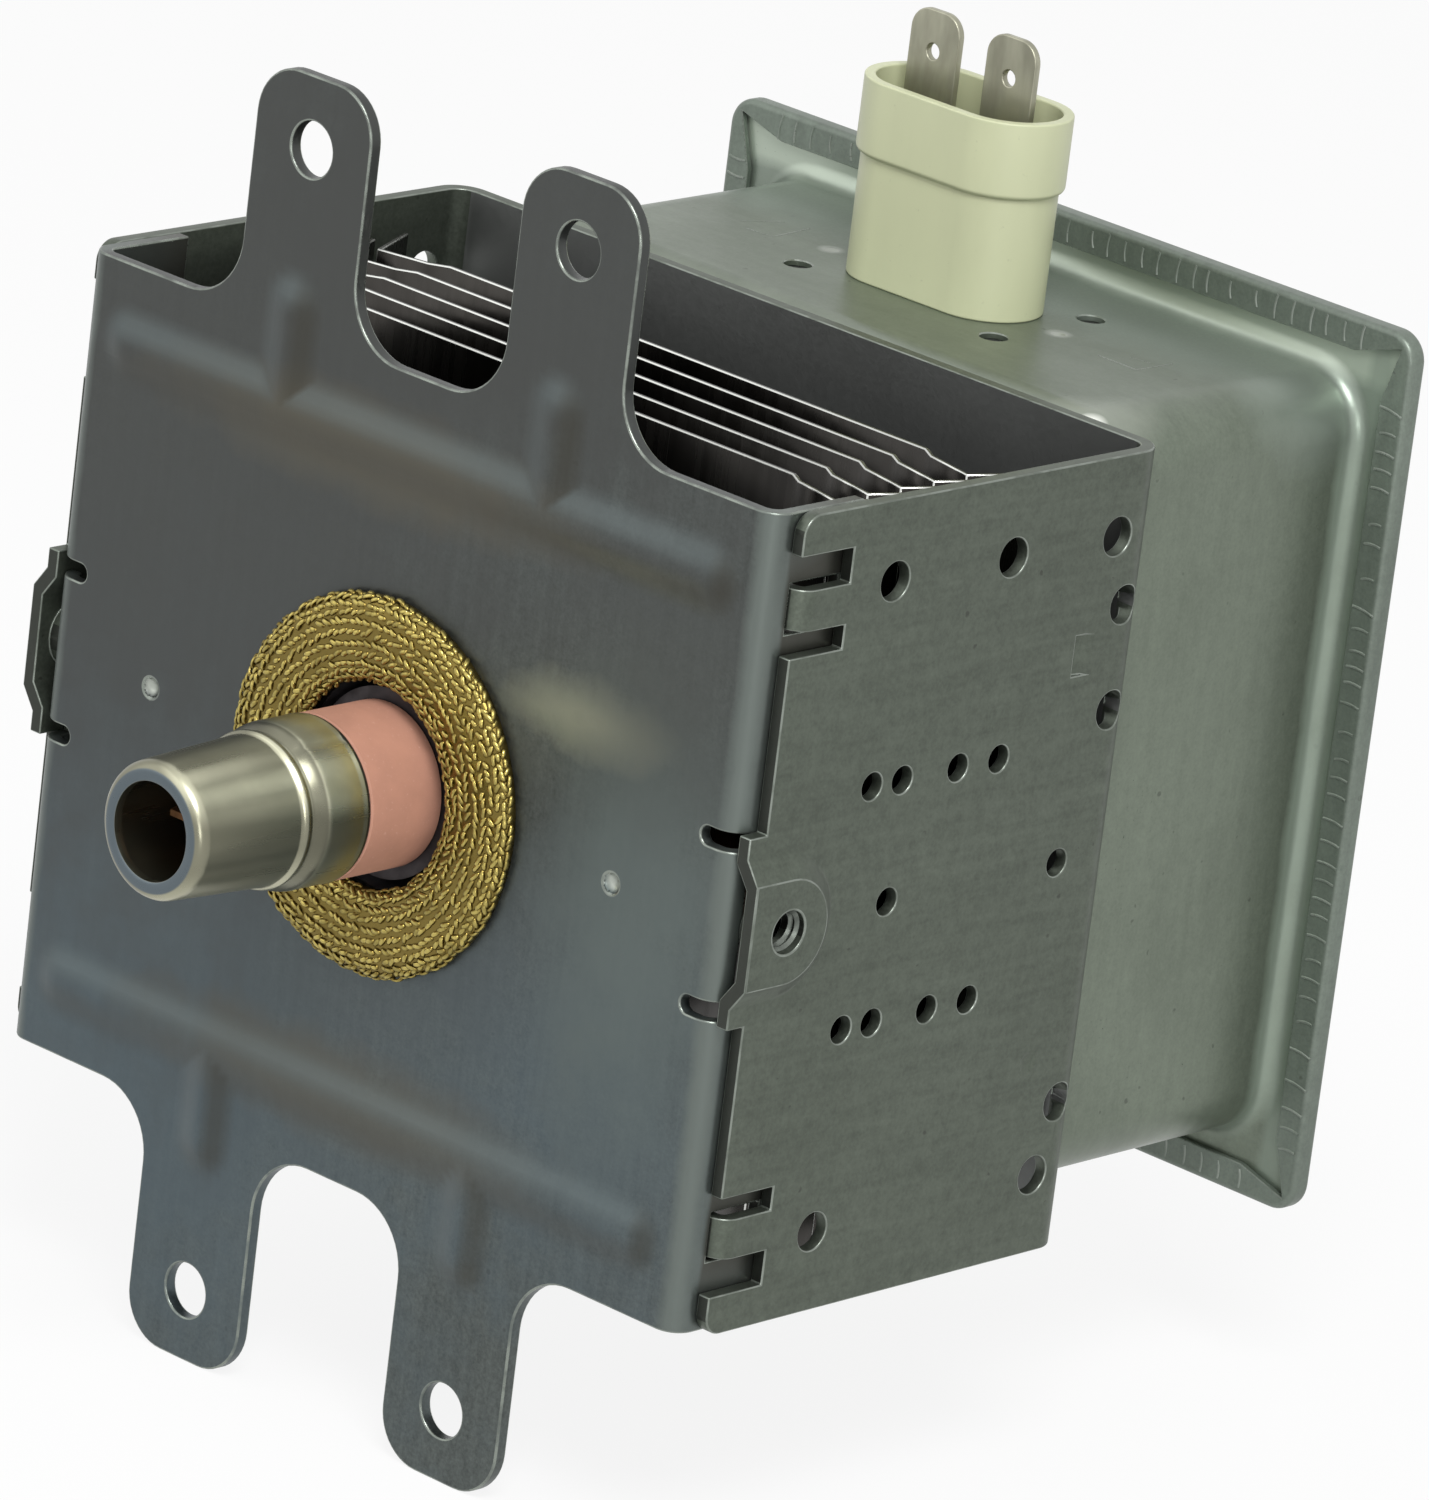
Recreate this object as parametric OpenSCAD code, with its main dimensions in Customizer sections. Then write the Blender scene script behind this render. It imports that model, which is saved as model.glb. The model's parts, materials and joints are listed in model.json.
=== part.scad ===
// Packaged magnetron of a microwave oven: folded steel yoke, finned tube, filter box and connector.
// The origin lies on the antenna's axis, in the front face of the mounting plate.
// The antenna points along -Y, and the terminals point along +Z.

/* [Mounting plate] */
// Width over the plate's folded sides
plate_w = 90.6; // [88:0.2:100]
// Height of the plate without its lugs
plate_h = 79.6; // [78:0.2:88]
// Thickness of the plate's and the yoke's steel sheet
sheet_t = 1.4; // [1:0.1:1.8]
// Outside radius of the plate's folds
fold_r = 2.4; // [2:0.1:3]
// Depth of the plate's folded sides
plate_flange = 12; // [11:0.5:13.5]
// Spacing of the lug holes across the plate
lug_dx = 35; // [33:0.5:40]
// Spacing of the lug holes along the height
lug_dz = 114; // [112:0.5:126]
// Diameter of the lug holes
lug_hole_d = 5.4; // [4.4:0.1:6.4]
// Width of a lug
lug_w = 15.2; // [13:0.2:17]
// Distance from a lug hole to the lug's tip
lug_end = 7; // [6:0.2:9]
// Corner radius of a lug's tip
lug_corner_r = 5; // [3:0.5:6]
// Radius where a lug grows out of the plate
lug_root_r = 6.5; // [4:0.5:7]
// Length of the embossed cross ribs
rib_len = 77; // [70:1:80]
// Distance of the cross ribs from the antenna's axis
rib_z = 32; // [31.5:0.5:34]
// Width of an embossed rib
rib_w = 6; // [4:0.5:7]
// Height of an embossed rib over the plate
rib_rise = 1.1; // [0.6:0.1:1.3]
// Reach of a rib's branch towards its lug
rib_branch = 9.5; // [6:0.5:11]
// Distance of the two dimples from the antenna's axis
dimple_x = 30.8; // [28:0.2:34]
// Radius of a dimple
dimple_r = 1.2; // [0.8:0.1:1.6]
// Distance of the fold's relief slots from the middle
relief_z = 8.2; // [7.5:0.1:9]
// Width of a relief slot
relief_w = 1.8; // [1.2:0.1:2.4]
// Reach of a relief slot into the plate
relief_reach = 3.4; // [2.5:0.1:5]
// Gap between the tube's ends and their holes in the plate, the yoke and the box
throat_gap = 1.2; // [0.4:0.1:1.8]

/* [Yoke] */
// Gap between the plate's folded sides and the yoke's walls
wall_clear = 0.1; // [0.05:0.05:0.3]
// Outside radius of the yoke's folds
yoke_fold_r = 3.2; // [2.2:0.2:4]
// Setback of the yoke's front edges behind the plate's face
yoke_edge = 2.6; // [1.5:0.1:3.2]
// Setback of the screw tabs behind the plate's face
tab_edge = 0.4; // [0.2:0.1:1]
// Height of a screw tab
tab_h = 18.6; // [16.5:0.2:20]
// Width of a screw boss
boss_w = 10.2; // [9:0.2:12]
// Height of a screw boss over the yoke's wall
boss_rise = 1.6; // [1:0.1:2]
// Width of the slope round a screw boss
boss_ramp = 2.2; // [1.5:0.1:2.5]
// Distance of the screw holes behind the plate's face
screw_y = 5.4; // [5:0.1:6.5]
// Diameter of the tapped screw holes
screw_d = 4.2; // [3.2:0.1:5]
// Distance of the hooks from the middle of the wall
hook_z = 30.5; // [29:0.5:31.5]
// Width of a hook's tongue
hook_w = 4; // [3:0.2:5]
// Width of the cut on a hook's outer side
hook_outer_cut = 3.4; // [2.5:0.1:4]
// Width of the cut on a hook's inner side
hook_inner_cut = 2.3; // [1.8:0.1:3]
// Depth of the cuts beside a hook
hook_cut = 7; // [6:0.2:8]
// Setback of a hook's bend behind the yoke's front edges
hook_setback = 0.6; // [0.4:0.1:1]
// Outside radius of a hook's bend
hook_r = 2; // [1.9:0.1:2.4]
// Reach of a hook's tip through the plate's side
hook_tip = 1.6; // [1:0.1:2.2]
// Gap on each side of a hook in its window
hook_gap = 0.4; // [0.2:0.1:0.8]
// Diameter of the large wall holes
large_hole_d = 3.8; // [3:0.1:4.4]
// Diameter of the small wall holes
small_hole_d = 2.7; // [2:0.1:3.2]
// Distance of the large hole rows from the middle
large_row_z = 31.8; // [31:0.2:33]
// Distance of the small hole rows from the middle
small_row_z = 11.9; // [11.6:0.1:13]
// Distance of the front large holes behind the plate's face
large_front_y = 15.8; // [15:0.1:16.5]
// Distance of the middle large hole behind the plate's face
large_mid_y = 31.9; // [30:0.1:33]
// Distance of the rear large holes from the yoke's back
large_rear = 5.7; // [5:0.1:6.5]
// Distance of the rear column's holes from the yoke's back
rear_hole = 3.4; // [3.2:0.1:4]
// Distance of the rear column's outer holes from the middle
rear_outer_z = 24.8; // [24:0.1:25.6]
// Distance of the rear column's inner hole from the middle
rear_inner_z = 14.4; // [13.6:0.1:15.2]
// Distance of the first small holes behind the plate's face
small_first_y = 16.2; // [15.6:0.1:16.8]
// Distance of the second small holes behind the plate's face
small_second_y = 20.3; // [19.8:0.1:21]
// Distance of the third small holes behind the plate's face
small_third_y = 27.9; // [27:0.1:29]
// Distance of the fourth small holes behind the plate's face
small_fourth_y = 33.5; // [32.5:0.1:34.5]
// Distance of the middle row's rear small hole from the yoke's back
small_rear = 8.2; // [7.6:0.1:9]
// Corner radius of the wall's front ends
wall_corner_r = 2; // [1:0.2:3]
// Distance of the lanced marks' front from the yoke's back
lance_rear = 9.7; // [9:0.1:10.4]
// Distance of the lanced marks above the middle
lance_z = 20.6; // [20:0.1:21.2]
// Length of a lanced mark's ramp
lance_len = 2.6; // [2:0.1:3]
// Height of a lanced mark
lance_h = 4; // [3:0.1:4.4]
// Depth of a lanced mark at its front
lance_depth = 0.5; // [0.3:0.1:0.8]
// Distance of the wall dents from the yoke's back
dent_rear = 8.5; // [8:0.1:9.4]
// Distance of the wall dents below the middle
dent_z = 19.9; // [19:0.1:21]
// Radius of a wall dent's hollow
dent_r = 2.4; // [1.6:0.1:3]
// Depth of a wall dent
dent_depth = 0.3; // [0.2:0.05:0.5]

/* [Vacuum tube] */
// Outside diameter of the ring magnets
magnet_d = 54; // [50:0.5:56]
// Gap between the tube's ends and the ring magnets
magnet_gap = 1.3; // [0.4:0.1:2.4]
// Thickness of a ring magnet
magnet_t = 12; // [11:0.2:14]
// Thickness of the seal cups' sheet
seal_t = 0.6; // [0.4:0.1:0.9]
// Outside diameter of the seal cups' tubes
seal_d = 18.4; // [17.8:0.2:19.6]
// Length of the anode shell
anode_len = 24; // [22:0.2:27]
// Outside diameter of the anode shell
anode_d = 39; // [37:0.5:42]
// Wall of the anode shell
anode_wall = 2; // [1.6:0.1:3]
// Thickness of the pole pieces
pole_t = 1.6; // [1.2:0.1:2]
// Bore of the pole pieces
pole_bore = 9.6; // [9.2:0.1:10.4]
// Depth of the pole pieces' cones
pole_cone = 5; // [4:0.2:5.6]
// Width of the pole pieces' flat inside the seal cups
pole_step = 1; // [0.6:0.1:1.6]
// Number of anode vanes
vane_count = 10; // [8, 10, 12]
// Thickness of a vane
vane_t = 2; // [1.4:0.1:2.2]
// Height of a vane along the axis
vane_h = 9.5; // [8:0.1:10.5]
// Diameter between the vanes' tips
vane_tip_d = 9; // [8.4:0.1:9.4]
// Inside diameter of the inner straps
strap_inner_d = 10; // [9.8:0.1:10.4]
// Inside diameter of the outer straps
strap_outer_d = 16.8; // [16:0.2:18]
// Width of a strap
strap_w = 0.7; // [0.5:0.1:0.9]
// Thickness of a strap along the axis
strap_t = 0.9; // [0.6:0.1:1.2]
// Clearance of a strap past the vanes that it skips
strap_clear = 0.3; // [0.2:0.05:0.5]
// Radius of the filament's coil
filament_r = 1.9; // [1.7:0.1:2.2]
// Diameter of the filament's wire
filament_wire_d = 0.5; // [0.4:0.05:0.6]
// Turns of the filament
filament_turns = 7; // [5:1:9]
// Length of the filament past each end of the vanes
filament_over = 0.5; // [0.3:0.1:0.8]
// Diameter of the end hats
hat_d = 7.4; // [6.8:0.1:8]
// Thickness of the end hats
hat_t = 1; // [0.8:0.1:1.4]
// Clearance between the hats' bosses and the filament's coil
hat_fit = 0.1; // [0.05:0.05:0.2]
// Diameter of the cathode leads
lead_d = 1.5; // [1.2:0.1:1.6]
// Offset of the side lead from the axis
side_lead_x = 2.8; // [2.7:0.1:3]

/* [Output] */
// Outside diameter of the output ceramic
ceramic_d = 16; // [15:0.2:17]
// Bore of the output ceramic
ceramic_bore = 12.6; // [11:0.2:13]
// Length of the output ceramic
ceramic_len = 9.4; // [8.6:0.2:13]
// Setback of the output seal behind the plate's face
seal_setback = 0.8; // [0.4:0.1:1.2]
// Length of the antenna cap
cap_len = 20.8; // [18:0.2:24]
// Diameter of the cap's collar
cap_collar_d = 16.2; // [15.8:0.1:17]
// Length of the cap's collar
cap_collar_len = 5.8; // [5:0.1:7]
// Diameter of the cap's barrel behind the bead
cap_barrel_d = 14.4; // [13.8:0.1:15]
// Diameter of the cap's barrel at its front
cap_tip_d = 13.2; // [12.6:0.1:13.6]
// Length of the neck between collar and barrel
cap_neck = 1.4; // [1:0.1:2]
// Height of the bead between collar and barrel
cap_bead = 0.35; // [0.2:0.05:0.5]
// Sheet thickness of the cap
cap_t = 0.6; // [0.5:0.05:0.8]
// Opening in the cap's front
cap_mouth_d = 9.4; // [8.6:0.2:10]
// Radius of the cap's front rim
cap_rim_r = 1; // [0.7:0.1:1.2]
// Diameter of the exhaust tube
exhaust_d = 6.4; // [5.6:0.2:7.2]
// Length of the round part of the exhaust tube
exhaust_len = 8; // [6:0.2:9]
// Length of the pinched end of the exhaust tube
pinch_len = 6.5; // [5:0.2:8]
// Thickness of the pinched edge of the exhaust tube
pinch_t = 0.6; // [0.4:0.1:1]
// Thickness of the flange under the exhaust tube
exhaust_flange_t = 0.6; // [0.4:0.1:1]
// Clearance of that flange inside the cap
exhaust_fit = 0.1; // [0.05:0.05:0.3]
// Diameter of the antenna lead
antenna_d = 2; // [1.6:0.1:2.4]
// Length of the antenna lead's straight ends beside its slope
antenna_bend = 2; // [1.6:0.1:3]
// Gap between the antenna lead and the output seal's tube
antenna_gap = 0.6; // [0.4:0.05:0.8]
// Clearance round a lead that passes a pole piece or a hat
lead_clear = 0.3; // [0.2:0.05:0.4]
// Outside diameter of the RF gasket
gasket_d = 37; // [34:0.5:40]
// Inside diameter of the RF gasket
gasket_bore = 19.6; // [18.8:0.2:21]
// Height of the RF gasket over the plate
gasket_rise = 2; // [1.2:0.1:3]

/* [Cooling fins] */
// Number of fins
fin_count = 5; // [3:1:5]
// Distance of the first fin behind the anode's front end
fin_first = 3.5; // [2.8:0.1:4]
// Distance of the last fin from the anode's rear end
fin_last = 2.5; // [2.4:0.1:3.4]
// Thickness of a fin
fin_t = 0.5; // [0.4:0.05:0.7]
// Setback of the fins from the yoke's open ends
fin_inset = 2.4; // [1:0.2:4]
// Gap between the fins' edges and the yoke's walls
fin_gap = 3.6; // [2.4:0.1:5]
// Width of a fin's jog and slanted part
fin_slant = 7.4; // [6:0.2:8]
// Forward offset at the jog of a fin
fin_jog = 1.2; // [0.8:0.1:1.6]
// Width of the bent edge of a fin
fin_edge_w = 2.9; // [2:0.1:3.4]
// Backward reach of the bent edge of a fin
fin_edge_y = 6.5; // [5:0.1:7.5]
// Length of the collar round a fin's hole
fin_collar = 2.2; // [1.5:0.1:3]

/* [Filter box] */
// Width of the drawn box
box_w = 78.6; // [74:0.2:80]
// Height of the drawn box
box_h = 77.8; // [74:0.2:80]
// Depth of the drawn box with its flange
box_depth = 37.6; // [34:0.2:40]
// Rise of the box over the antenna's axis
box_rise = 0.4; // [0:0.1:1]
// Sheet thickness of the box
box_t = 0.7; // [0.5:0.1:0.9]
// Radius of the box's corners
box_r = 6; // [5:0.5:8]
// Radius of the box's front edges
box_front_r = 4; // [3:0.2:4.6]
// Inside radius where the box meets its flange
box_fillet = 1.8; // [1.2:0.1:2.4]
// Gap between the box's fillet and the cover's hem
hem_free = 1; // [0.1:0.1:1.6]
// Sheet thickness of the cover
cover_t = 0.7; // [0.5:0.1:0.9]
// Width of the cover's folded hem
hem_w = 3.2; // [3:0.2:4.4]
// Corner radius of the cover
cover_corner_r = 3; // [2:0.2:4]
// Gap between the box's flange and the folded cover
hem_clear = 0.08; // [0.05:0.01:0.15]
// Length of the slant at the ends of the hem's strips
hem_mitre = 4; // [2:0.5:6]

/* [Connector] */
// Distance of the connector behind the yoke
conn_y = 19.6; // [18:0.2:21]
// Length of the connector's oval
conn_len = 23.8; // [22:0.2:26]
// Width of the connector's oval
conn_w = 12.4; // [11.6:0.2:14]
// Height of the connector over the box
conn_h = 20; // [18:0.2:24]
// Height of the step under the connector's collar
conn_step = 12.4; // [10:0.2:14]
// Overhang of the connector's collar
conn_collar = 0.6; // [0.3:0.1:1]
// Wall of the connector
conn_wall = 1.2; // [1:0.1:1.6]
// Depth of the connector's hollow
conn_hollow = 14; // [12:0.5:16]
// Clearance round the connector's spigot
conn_clear = 0.1; // [0.05:0.05:0.2]
// Width of the terminals' shanks
shank_w = 2.6; // [2:0.1:3]
// Spacing of the two terminals
tab_pitch = 10; // [9.4:0.1:11]
// Width of a terminal
tab_w = 6.35; // [4.8, 6.35]
// Thickness of a terminal
tab_t = 0.8; // [0.5, 0.8]
// Rise of the terminals over the connector's rim
tab_rise = 6.9; // [5:0.1:9]
// Corner radius of a terminal's tip
tab_corner_r = 2.2; // [1.4:0.1:2.3]
// Diameter of the hole in a terminal
tab_hole_d = 1.6; // [1.2:0.1:2]
// Distance of the hole from the terminal's tip
tab_hole_drop = 4.1; // [3.4:0.1:4.8]
// Spacing across of the capacitor's screw holes
cap_hole_dx = 26; // [26:0.2:28]
// Spacing along the depth of the capacitor's screw holes
cap_hole_dy = 14; // [14:0.2:16]
// Diameter of the capacitor's screw holes
cap_hole_d = 2.8; // [2.2:0.1:3.2]
// Margin of the capacitor's ground plate round its holes
cap_plate_margin = 3; // [2.4:0.2:3.4]
// Wall of the capacitor's case
case_wall = 1; // [0.8:0.1:1.4]
// Thickness of the capacitor's ground plate
cap_plate_t = 0.8; // [0.6:0.1:1]
// Depth of the capacitor's case under its ground plate
cap_case_h = 12; // [10:0.5:13]
// Distance of the two clinch dots from the connector's middle
dot_x = 15.1; // [14.6:0.1:16]
// Radius of a clinch dot's hollow
dot_r = 1.4; // [1:0.1:1.8]
// Depth of a clinch dot
dot_depth = 0.3; // [0.2:0.05:0.4]

/* [Cathode stem and chokes] */
// Reach of the stem seal into the filter box
stem_reach = 1.5; // [1:0.1:2.5]
// Length of the stem ceramic
stem_len = 11; // [9:0.2:12]
// Reach of the cathode leads past the stem
lead_reach = 4; // [3:0.1:4.4]
// Distance of a choke from the middle
choke_x = 16; // [14:0.2:20]
// Radius of a choke's coil
choke_r = 3.1; // [2.9:0.1:3.6]
// Diameter of a choke's wire
choke_wire_d = 1.2; // [1:0.1:1.3]
// Full turns of a choke
choke_turns = 8; // [6:1:9]
// Spacing of a choke's turns
choke_pitch = 2; // [1.8:0.1:2.2]
// Diameter of a choke's ferrite core
core_d = 4.6; // [4:0.1:4.6]
// Length of a choke's ferrite core past each end of its coil
core_reach = 2; // [1:0.2:3]

/* [Hidden] */
$fn = 48;
hull_fn = 32;
over = 1;
sides = [-1, 1];

// Planes along the tube, from the plate's back to the yoke's back
seal1_y = sheet_t + magnet_t;
anode_y = seal1_y + seal_t;
anode_end_y = anode_y + anode_len;
anode_mid_y = anode_y + anode_len / 2;
magnet2_y = anode_end_y + seal_t;
yoke_in_y = magnet2_y + magnet_t;
yoke_y = yoke_in_y + sheet_t;
stem_seal_y = yoke_y + box_t + stem_reach;
stem_end_y = stem_seal_y + stem_len;
lead_end_y = stem_end_y + lead_reach;

// Walls of the plate and the yoke
plate_x = plate_w / 2;
wall_in_x = plate_x + wall_clear;
wall_x = wall_in_x + sheet_t;
boss_x = wall_x + boss_rise;
lug_tip_z = lug_dz / 2 + lug_end;
hook_front_y = yoke_edge + hook_setback;
hook_back_y = yoke_edge + hook_cut;

// Vacuum tube radii
throat_d = seal_d + 2 * throat_gap;
magnet_bore = seal_d + 2 * magnet_gap;
anode_in_r = anode_d / 2 - anode_wall;
seal_in_r = seal_d / 2 - seal_t;
antenna_x = seal_in_r - antenna_d / 2 - antenna_gap;
vane_front_y = anode_mid_y - vane_h / 2;
vane_back_y = anode_mid_y + vane_h / 2;
filament_len = vane_h + 2 * filament_over;
filament_y = anode_mid_y - filament_len / 2;
filament_end_y = anode_mid_y + filament_len / 2;
hat_boss_d = 2 * filament_r - filament_wire_d - 2 * hat_fit;

// Cooling fins
fin_pitch = (anode_len - fin_first - fin_last) / (fin_count - 1);
fin_h = plate_h - 2 * fin_inset;
fin_flat = wall_in_x - fin_gap - fin_edge_w - fin_slant;

// Output planes
ceramic_y = seal_setback;
cap_y = ceramic_y - ceramic_len;
cap_in_r = cap_collar_d / 2 - cap_t;

// Box and cover
box_top_z = box_rise + box_h / 2;
flange_y = yoke_y + box_depth;
cover_reach = box_fillet + hem_free + hem_w;
cover_w = box_w + 2 * cover_reach;
cover_h = box_h + 2 * cover_reach;
hem_gap = cover_t + hem_clear;
flange_w = cover_w - 2 * hem_gap;
flange_h = cover_h - 2 * hem_gap;
flange_corner_r = cover_corner_r - hem_gap;
cover_front_y = flange_y - box_t - hem_gap;
cover_back_y = flange_y + hem_gap;

// Connector
conn_pos_y = yoke_y + conn_y;
rim_z = box_top_z + conn_h;
tab_tip_z = rim_z + tab_rise;
spigot_len = conn_len - 2 * conn_wall;
spigot_w = conn_w - 2 * conn_wall;
plate_under_z = box_top_z - box_t - cap_plate_t;
case_z = plate_under_z - cap_case_h;
choke_end_z = choke_pitch * (choke_turns + 0.5);
shank_end_z = choke_end_z - choke_wire_d;

// Places of the wall holes along the depth and the height
large_top_y = [large_front_y, large_mid_y, yoke_y - large_rear];
large_bottom_y = [large_front_y, yoke_y - large_rear];
rear_hole_y = yoke_y - rear_hole;
rear_hole_z = [rear_outer_z, rear_inner_z, -rear_outer_z];
small_row_y = [small_first_y, small_second_y, small_third_y, small_fourth_y];
small_mid_y = [small_second_y, yoke_y - small_rear];

fin_names = [for (i = [1 : fin_count]) str("cooling_fin_", i)];
vane_names = [for (i = [1 : vane_count]) str("anode_vane_", i)];
strap_names = ["front_inner_strap", "front_outer_strap", "rear_inner_strap", "rear_outer_strap"];

// Turns a shape that is drawn upright so that its axis runs back along +Y
module along_y() {
  rotate([-90, 0, 0]) children();
}

// A round bar or hole along Y
module bar_y(d, y0, y1) {
  translate([0, y0, 0]) along_y() cylinder(d = d, h = y1 - y0);
}

// A flat outline in X and Z, extruded from one Y plane to another
module sheet_y(y0, y1) {
  translate([0, y1, 0]) rotate([90, 0, 0]) linear_extrude(y1 - y0) children();
}

// A rectangle centred on the origin with round corners
module round_rect(w, h, r) {
  square([w - 2 * r, h], center = true);
  square([w, h - 2 * r], center = true);
  for (x = sides, y = sides) translate([x * (w / 2 - r), y * (h / 2 - r)]) circle(r);
}

// An oval with straight long sides along X
module oval(len, w) {
  square([len - w, w], center = true);
  for (x = sides) translate([x * (len - w) / 2, 0]) circle(d = w);
}

// A rectangle from y = 0 to depth whose two corners at y = 0 are round
module folded_front(w, depth, r) {
  translate([-w / 2, r]) square([w, depth - r]);
  translate([r - w / 2, 0]) square([w - 2 * r, depth]);
  for (x = sides) translate([x * (w / 2 - r), r]) circle(r);
}

// A round rod with ball ends between two points
module rod(p, q, d) {
  v = q - p;
  len = norm(v);
  translate(p) rotate([0, acos(v[2] / len), atan2(v[1], v[0])]) cylinder(d = d, h = len);
  for (e = [p, q]) translate(e) sphere(d = d);
}

// Points of a wire's skin: a ring of corners round each point of its path
function wire_dir(path, i) =
  path[min(i + 1, len(path) - 1)] - path[max(i - 1, 0)];
function wire_ring(path, i, r, n) =
  let (t = wire_dir(path, i) / norm(wire_dir(path, i)),
       u = cross([0, 0, 1], t) / norm(cross([0, 0, 1], t)),
       v = cross(t, u))
  [for (k = [0 : n - 1]) path[i] + r * (cos(360 * k / n) * u + sin(360 * k / n) * v)];

// A bent wire of n flats along a path that never runs straight up
module wire(path, d, n) {
  m = len(path);
  points = [for (i = [0 : m - 1]) each wire_ring(path, i, d / 2, n)];
  walls = [for (i = [0 : m - 2], k = [0 : n - 1])
    let (a = i * n + k, b = i * n + (k + 1) % n)
    each [[a, a + n, b + n], [a, b + n, b]]];
  ends = [[for (k = [0 : n - 1]) k], [for (k = [n - 1 : -1 : 0]) (m - 1) * n + k]];
  polyhedron(points, concat(walls, ends));
}

// Outline of one lug with the fillets at its root, for the lug at +X and +Z
module lug_outline() {
  root_z = plate_h / 2;
  lug_len = lug_tip_z - root_z + over;
  translate([lug_dx / 2, lug_tip_z - lug_len / 2]) round_rect(lug_w, lug_len, lug_corner_r);
  translate([lug_dx / 2 - lug_w / 2, root_z - over]) square([lug_w, lug_len - lug_corner_r]);
  for (s = sides) translate([lug_dx / 2 + s * (lug_w / 2 + lug_root_r), root_z + lug_root_r]) difference() {
    translate([s < 0 ? 0 : -lug_root_r - over, -lug_root_r - over]) square(lug_root_r + over);
    circle(lug_root_r);
  }
}

// A rib's rounded ridge between two points of the plate, or the groove behind it
module ridge(p, q, depth) {
  r = (rib_w * rib_w / 4 + rib_rise * rib_rise) / (2 * rib_rise);
  back = r - rib_rise;
  rod([p[0], back, p[1]], [q[0], back, q[1]], 2 * (r - depth));
}

module ribs(depth) {
  for (s = sides) {
    ridge([-rib_len / 2, s * rib_z], [rib_len / 2, s * rib_z], depth);
    for (x = sides)
      ridge([x * lug_dx / 2, s * rib_z], [x * lug_dx / 2, s * (rib_z + rib_branch)], depth);
  }
}

module mounting_plate() {
  half_slot = relief_w / 2;
  color([0.37, 0.40, 0.42]) difference() {
    union() {
      linear_extrude(plate_h, center = true) difference() {
        folded_front(plate_w, plate_flange, fold_r);
        translate([0, sheet_t]) folded_front(plate_w - 2 * sheet_t, plate_flange, fold_r - sheet_t);
      }
      for (mx = [0, 1], mz = [0, 1]) mirror([mx, 0, 0]) mirror([0, 0, mz]) sheet_y(0, sheet_t) lug_outline();
      intersection() {
        ribs(0);
        translate([-plate_x, -rib_rise, -lug_tip_z]) cube([plate_w, rib_rise + sheet_t, 2 * lug_tip_z]);
      }
    }
    intersection() {
      ribs(sheet_t);
      translate([-plate_x, -rib_rise, -lug_tip_z]) cube([plate_w, rib_rise + sheet_t + over, 2 * lug_tip_z]);
    }
    for (x = sides, z = sides)
      translate([x * lug_dx / 2, 0, z * lug_dz / 2]) bar_y(lug_hole_d, -over, sheet_t + over);
    bar_y(throat_d, -over, sheet_t + over);
    for (x = sides) {
      translate([x * dimple_x, -dimple_r / 2, 0]) sphere(dimple_r);
      // The middle of each folded side is cut away behind the screw tab
      translate([x * plate_x, (fold_r + plate_flange + over) / 2, 0])
        cube([4 * sheet_t, plate_flange + over - fold_r, 2 * relief_z], center = true);
      for (z = sides) translate([x * (plate_x - relief_reach), 0, z * relief_z]) {
        bar_y(relief_w, -over, fold_r + over);
        translate([x < 0 ? -relief_reach - over : 0, -over, -half_slot])
          cube([relief_reach + over, fold_r + 2 * over, relief_w]);
      }
      // Windows for the yoke's hooks
      for (z = sides) translate([x * plate_x, (hook_front_y + hook_back_y) / 2, z * hook_z])
        cube([4 * sheet_t, hook_back_y - hook_front_y, hook_w + 2 * hook_gap], center = true);
    }
  }
}

// A boss of the wall at +X, straight from the front edge to the screw and round behind it
// Its flank slopes from a wide foot at x0 to a top at x1 that is as wide as the boss less shrink
// Under the foot it goes on straight for the depth of its root
module boss_block(x0, x1, shrink, root) {
  top_r = (boss_w - shrink) / 2;
  foot_r = top_r + boss_ramp;
  root_x = x0 - root;
  translate([0, tab_edge, 0]) along_y() linear_extrude(screw_y - tab_edge)
    polygon([[root_x, -foot_r], [x0, -foot_r], [x1, -top_r], [x1, top_r], [x0, foot_r], [root_x, foot_r]]);
  intersection() {
    translate([0, screw_y, 0]) rotate([0, 90, 0]) rotate_extrude()
      polygon([[0, root_x], [foot_r, root_x], [foot_r, x0], [top_r, x1], [0, x1]]);
    translate([root_x - over, tab_edge, -foot_r - over])
      cube([x1 - root_x + 2 * over, screw_y - tab_edge + foot_r + over, 2 * (foot_r + over)]);
  }
}

// A hook's tongue: the wall's end is bent inwards through the plate's side
module hook_tongue() {
  bend_x = wall_x - hook_r;
  bend_y = hook_front_y + hook_r;
  tip_x = plate_x - sheet_t - hook_tip;
  linear_extrude(hook_w, center = true) {
    translate([wall_x - sheet_t, bend_y]) square([sheet_t, hook_back_y - bend_y + over]);
    translate([tip_x, hook_front_y]) square([bend_x - tip_x, sheet_t]);
    intersection() {
      translate([bend_x, bend_y]) difference() {
        circle(hook_r);
        circle(hook_r - sheet_t);
      }
      translate([bend_x, hook_front_y]) square(hook_r);
    }
  }
}

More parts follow.
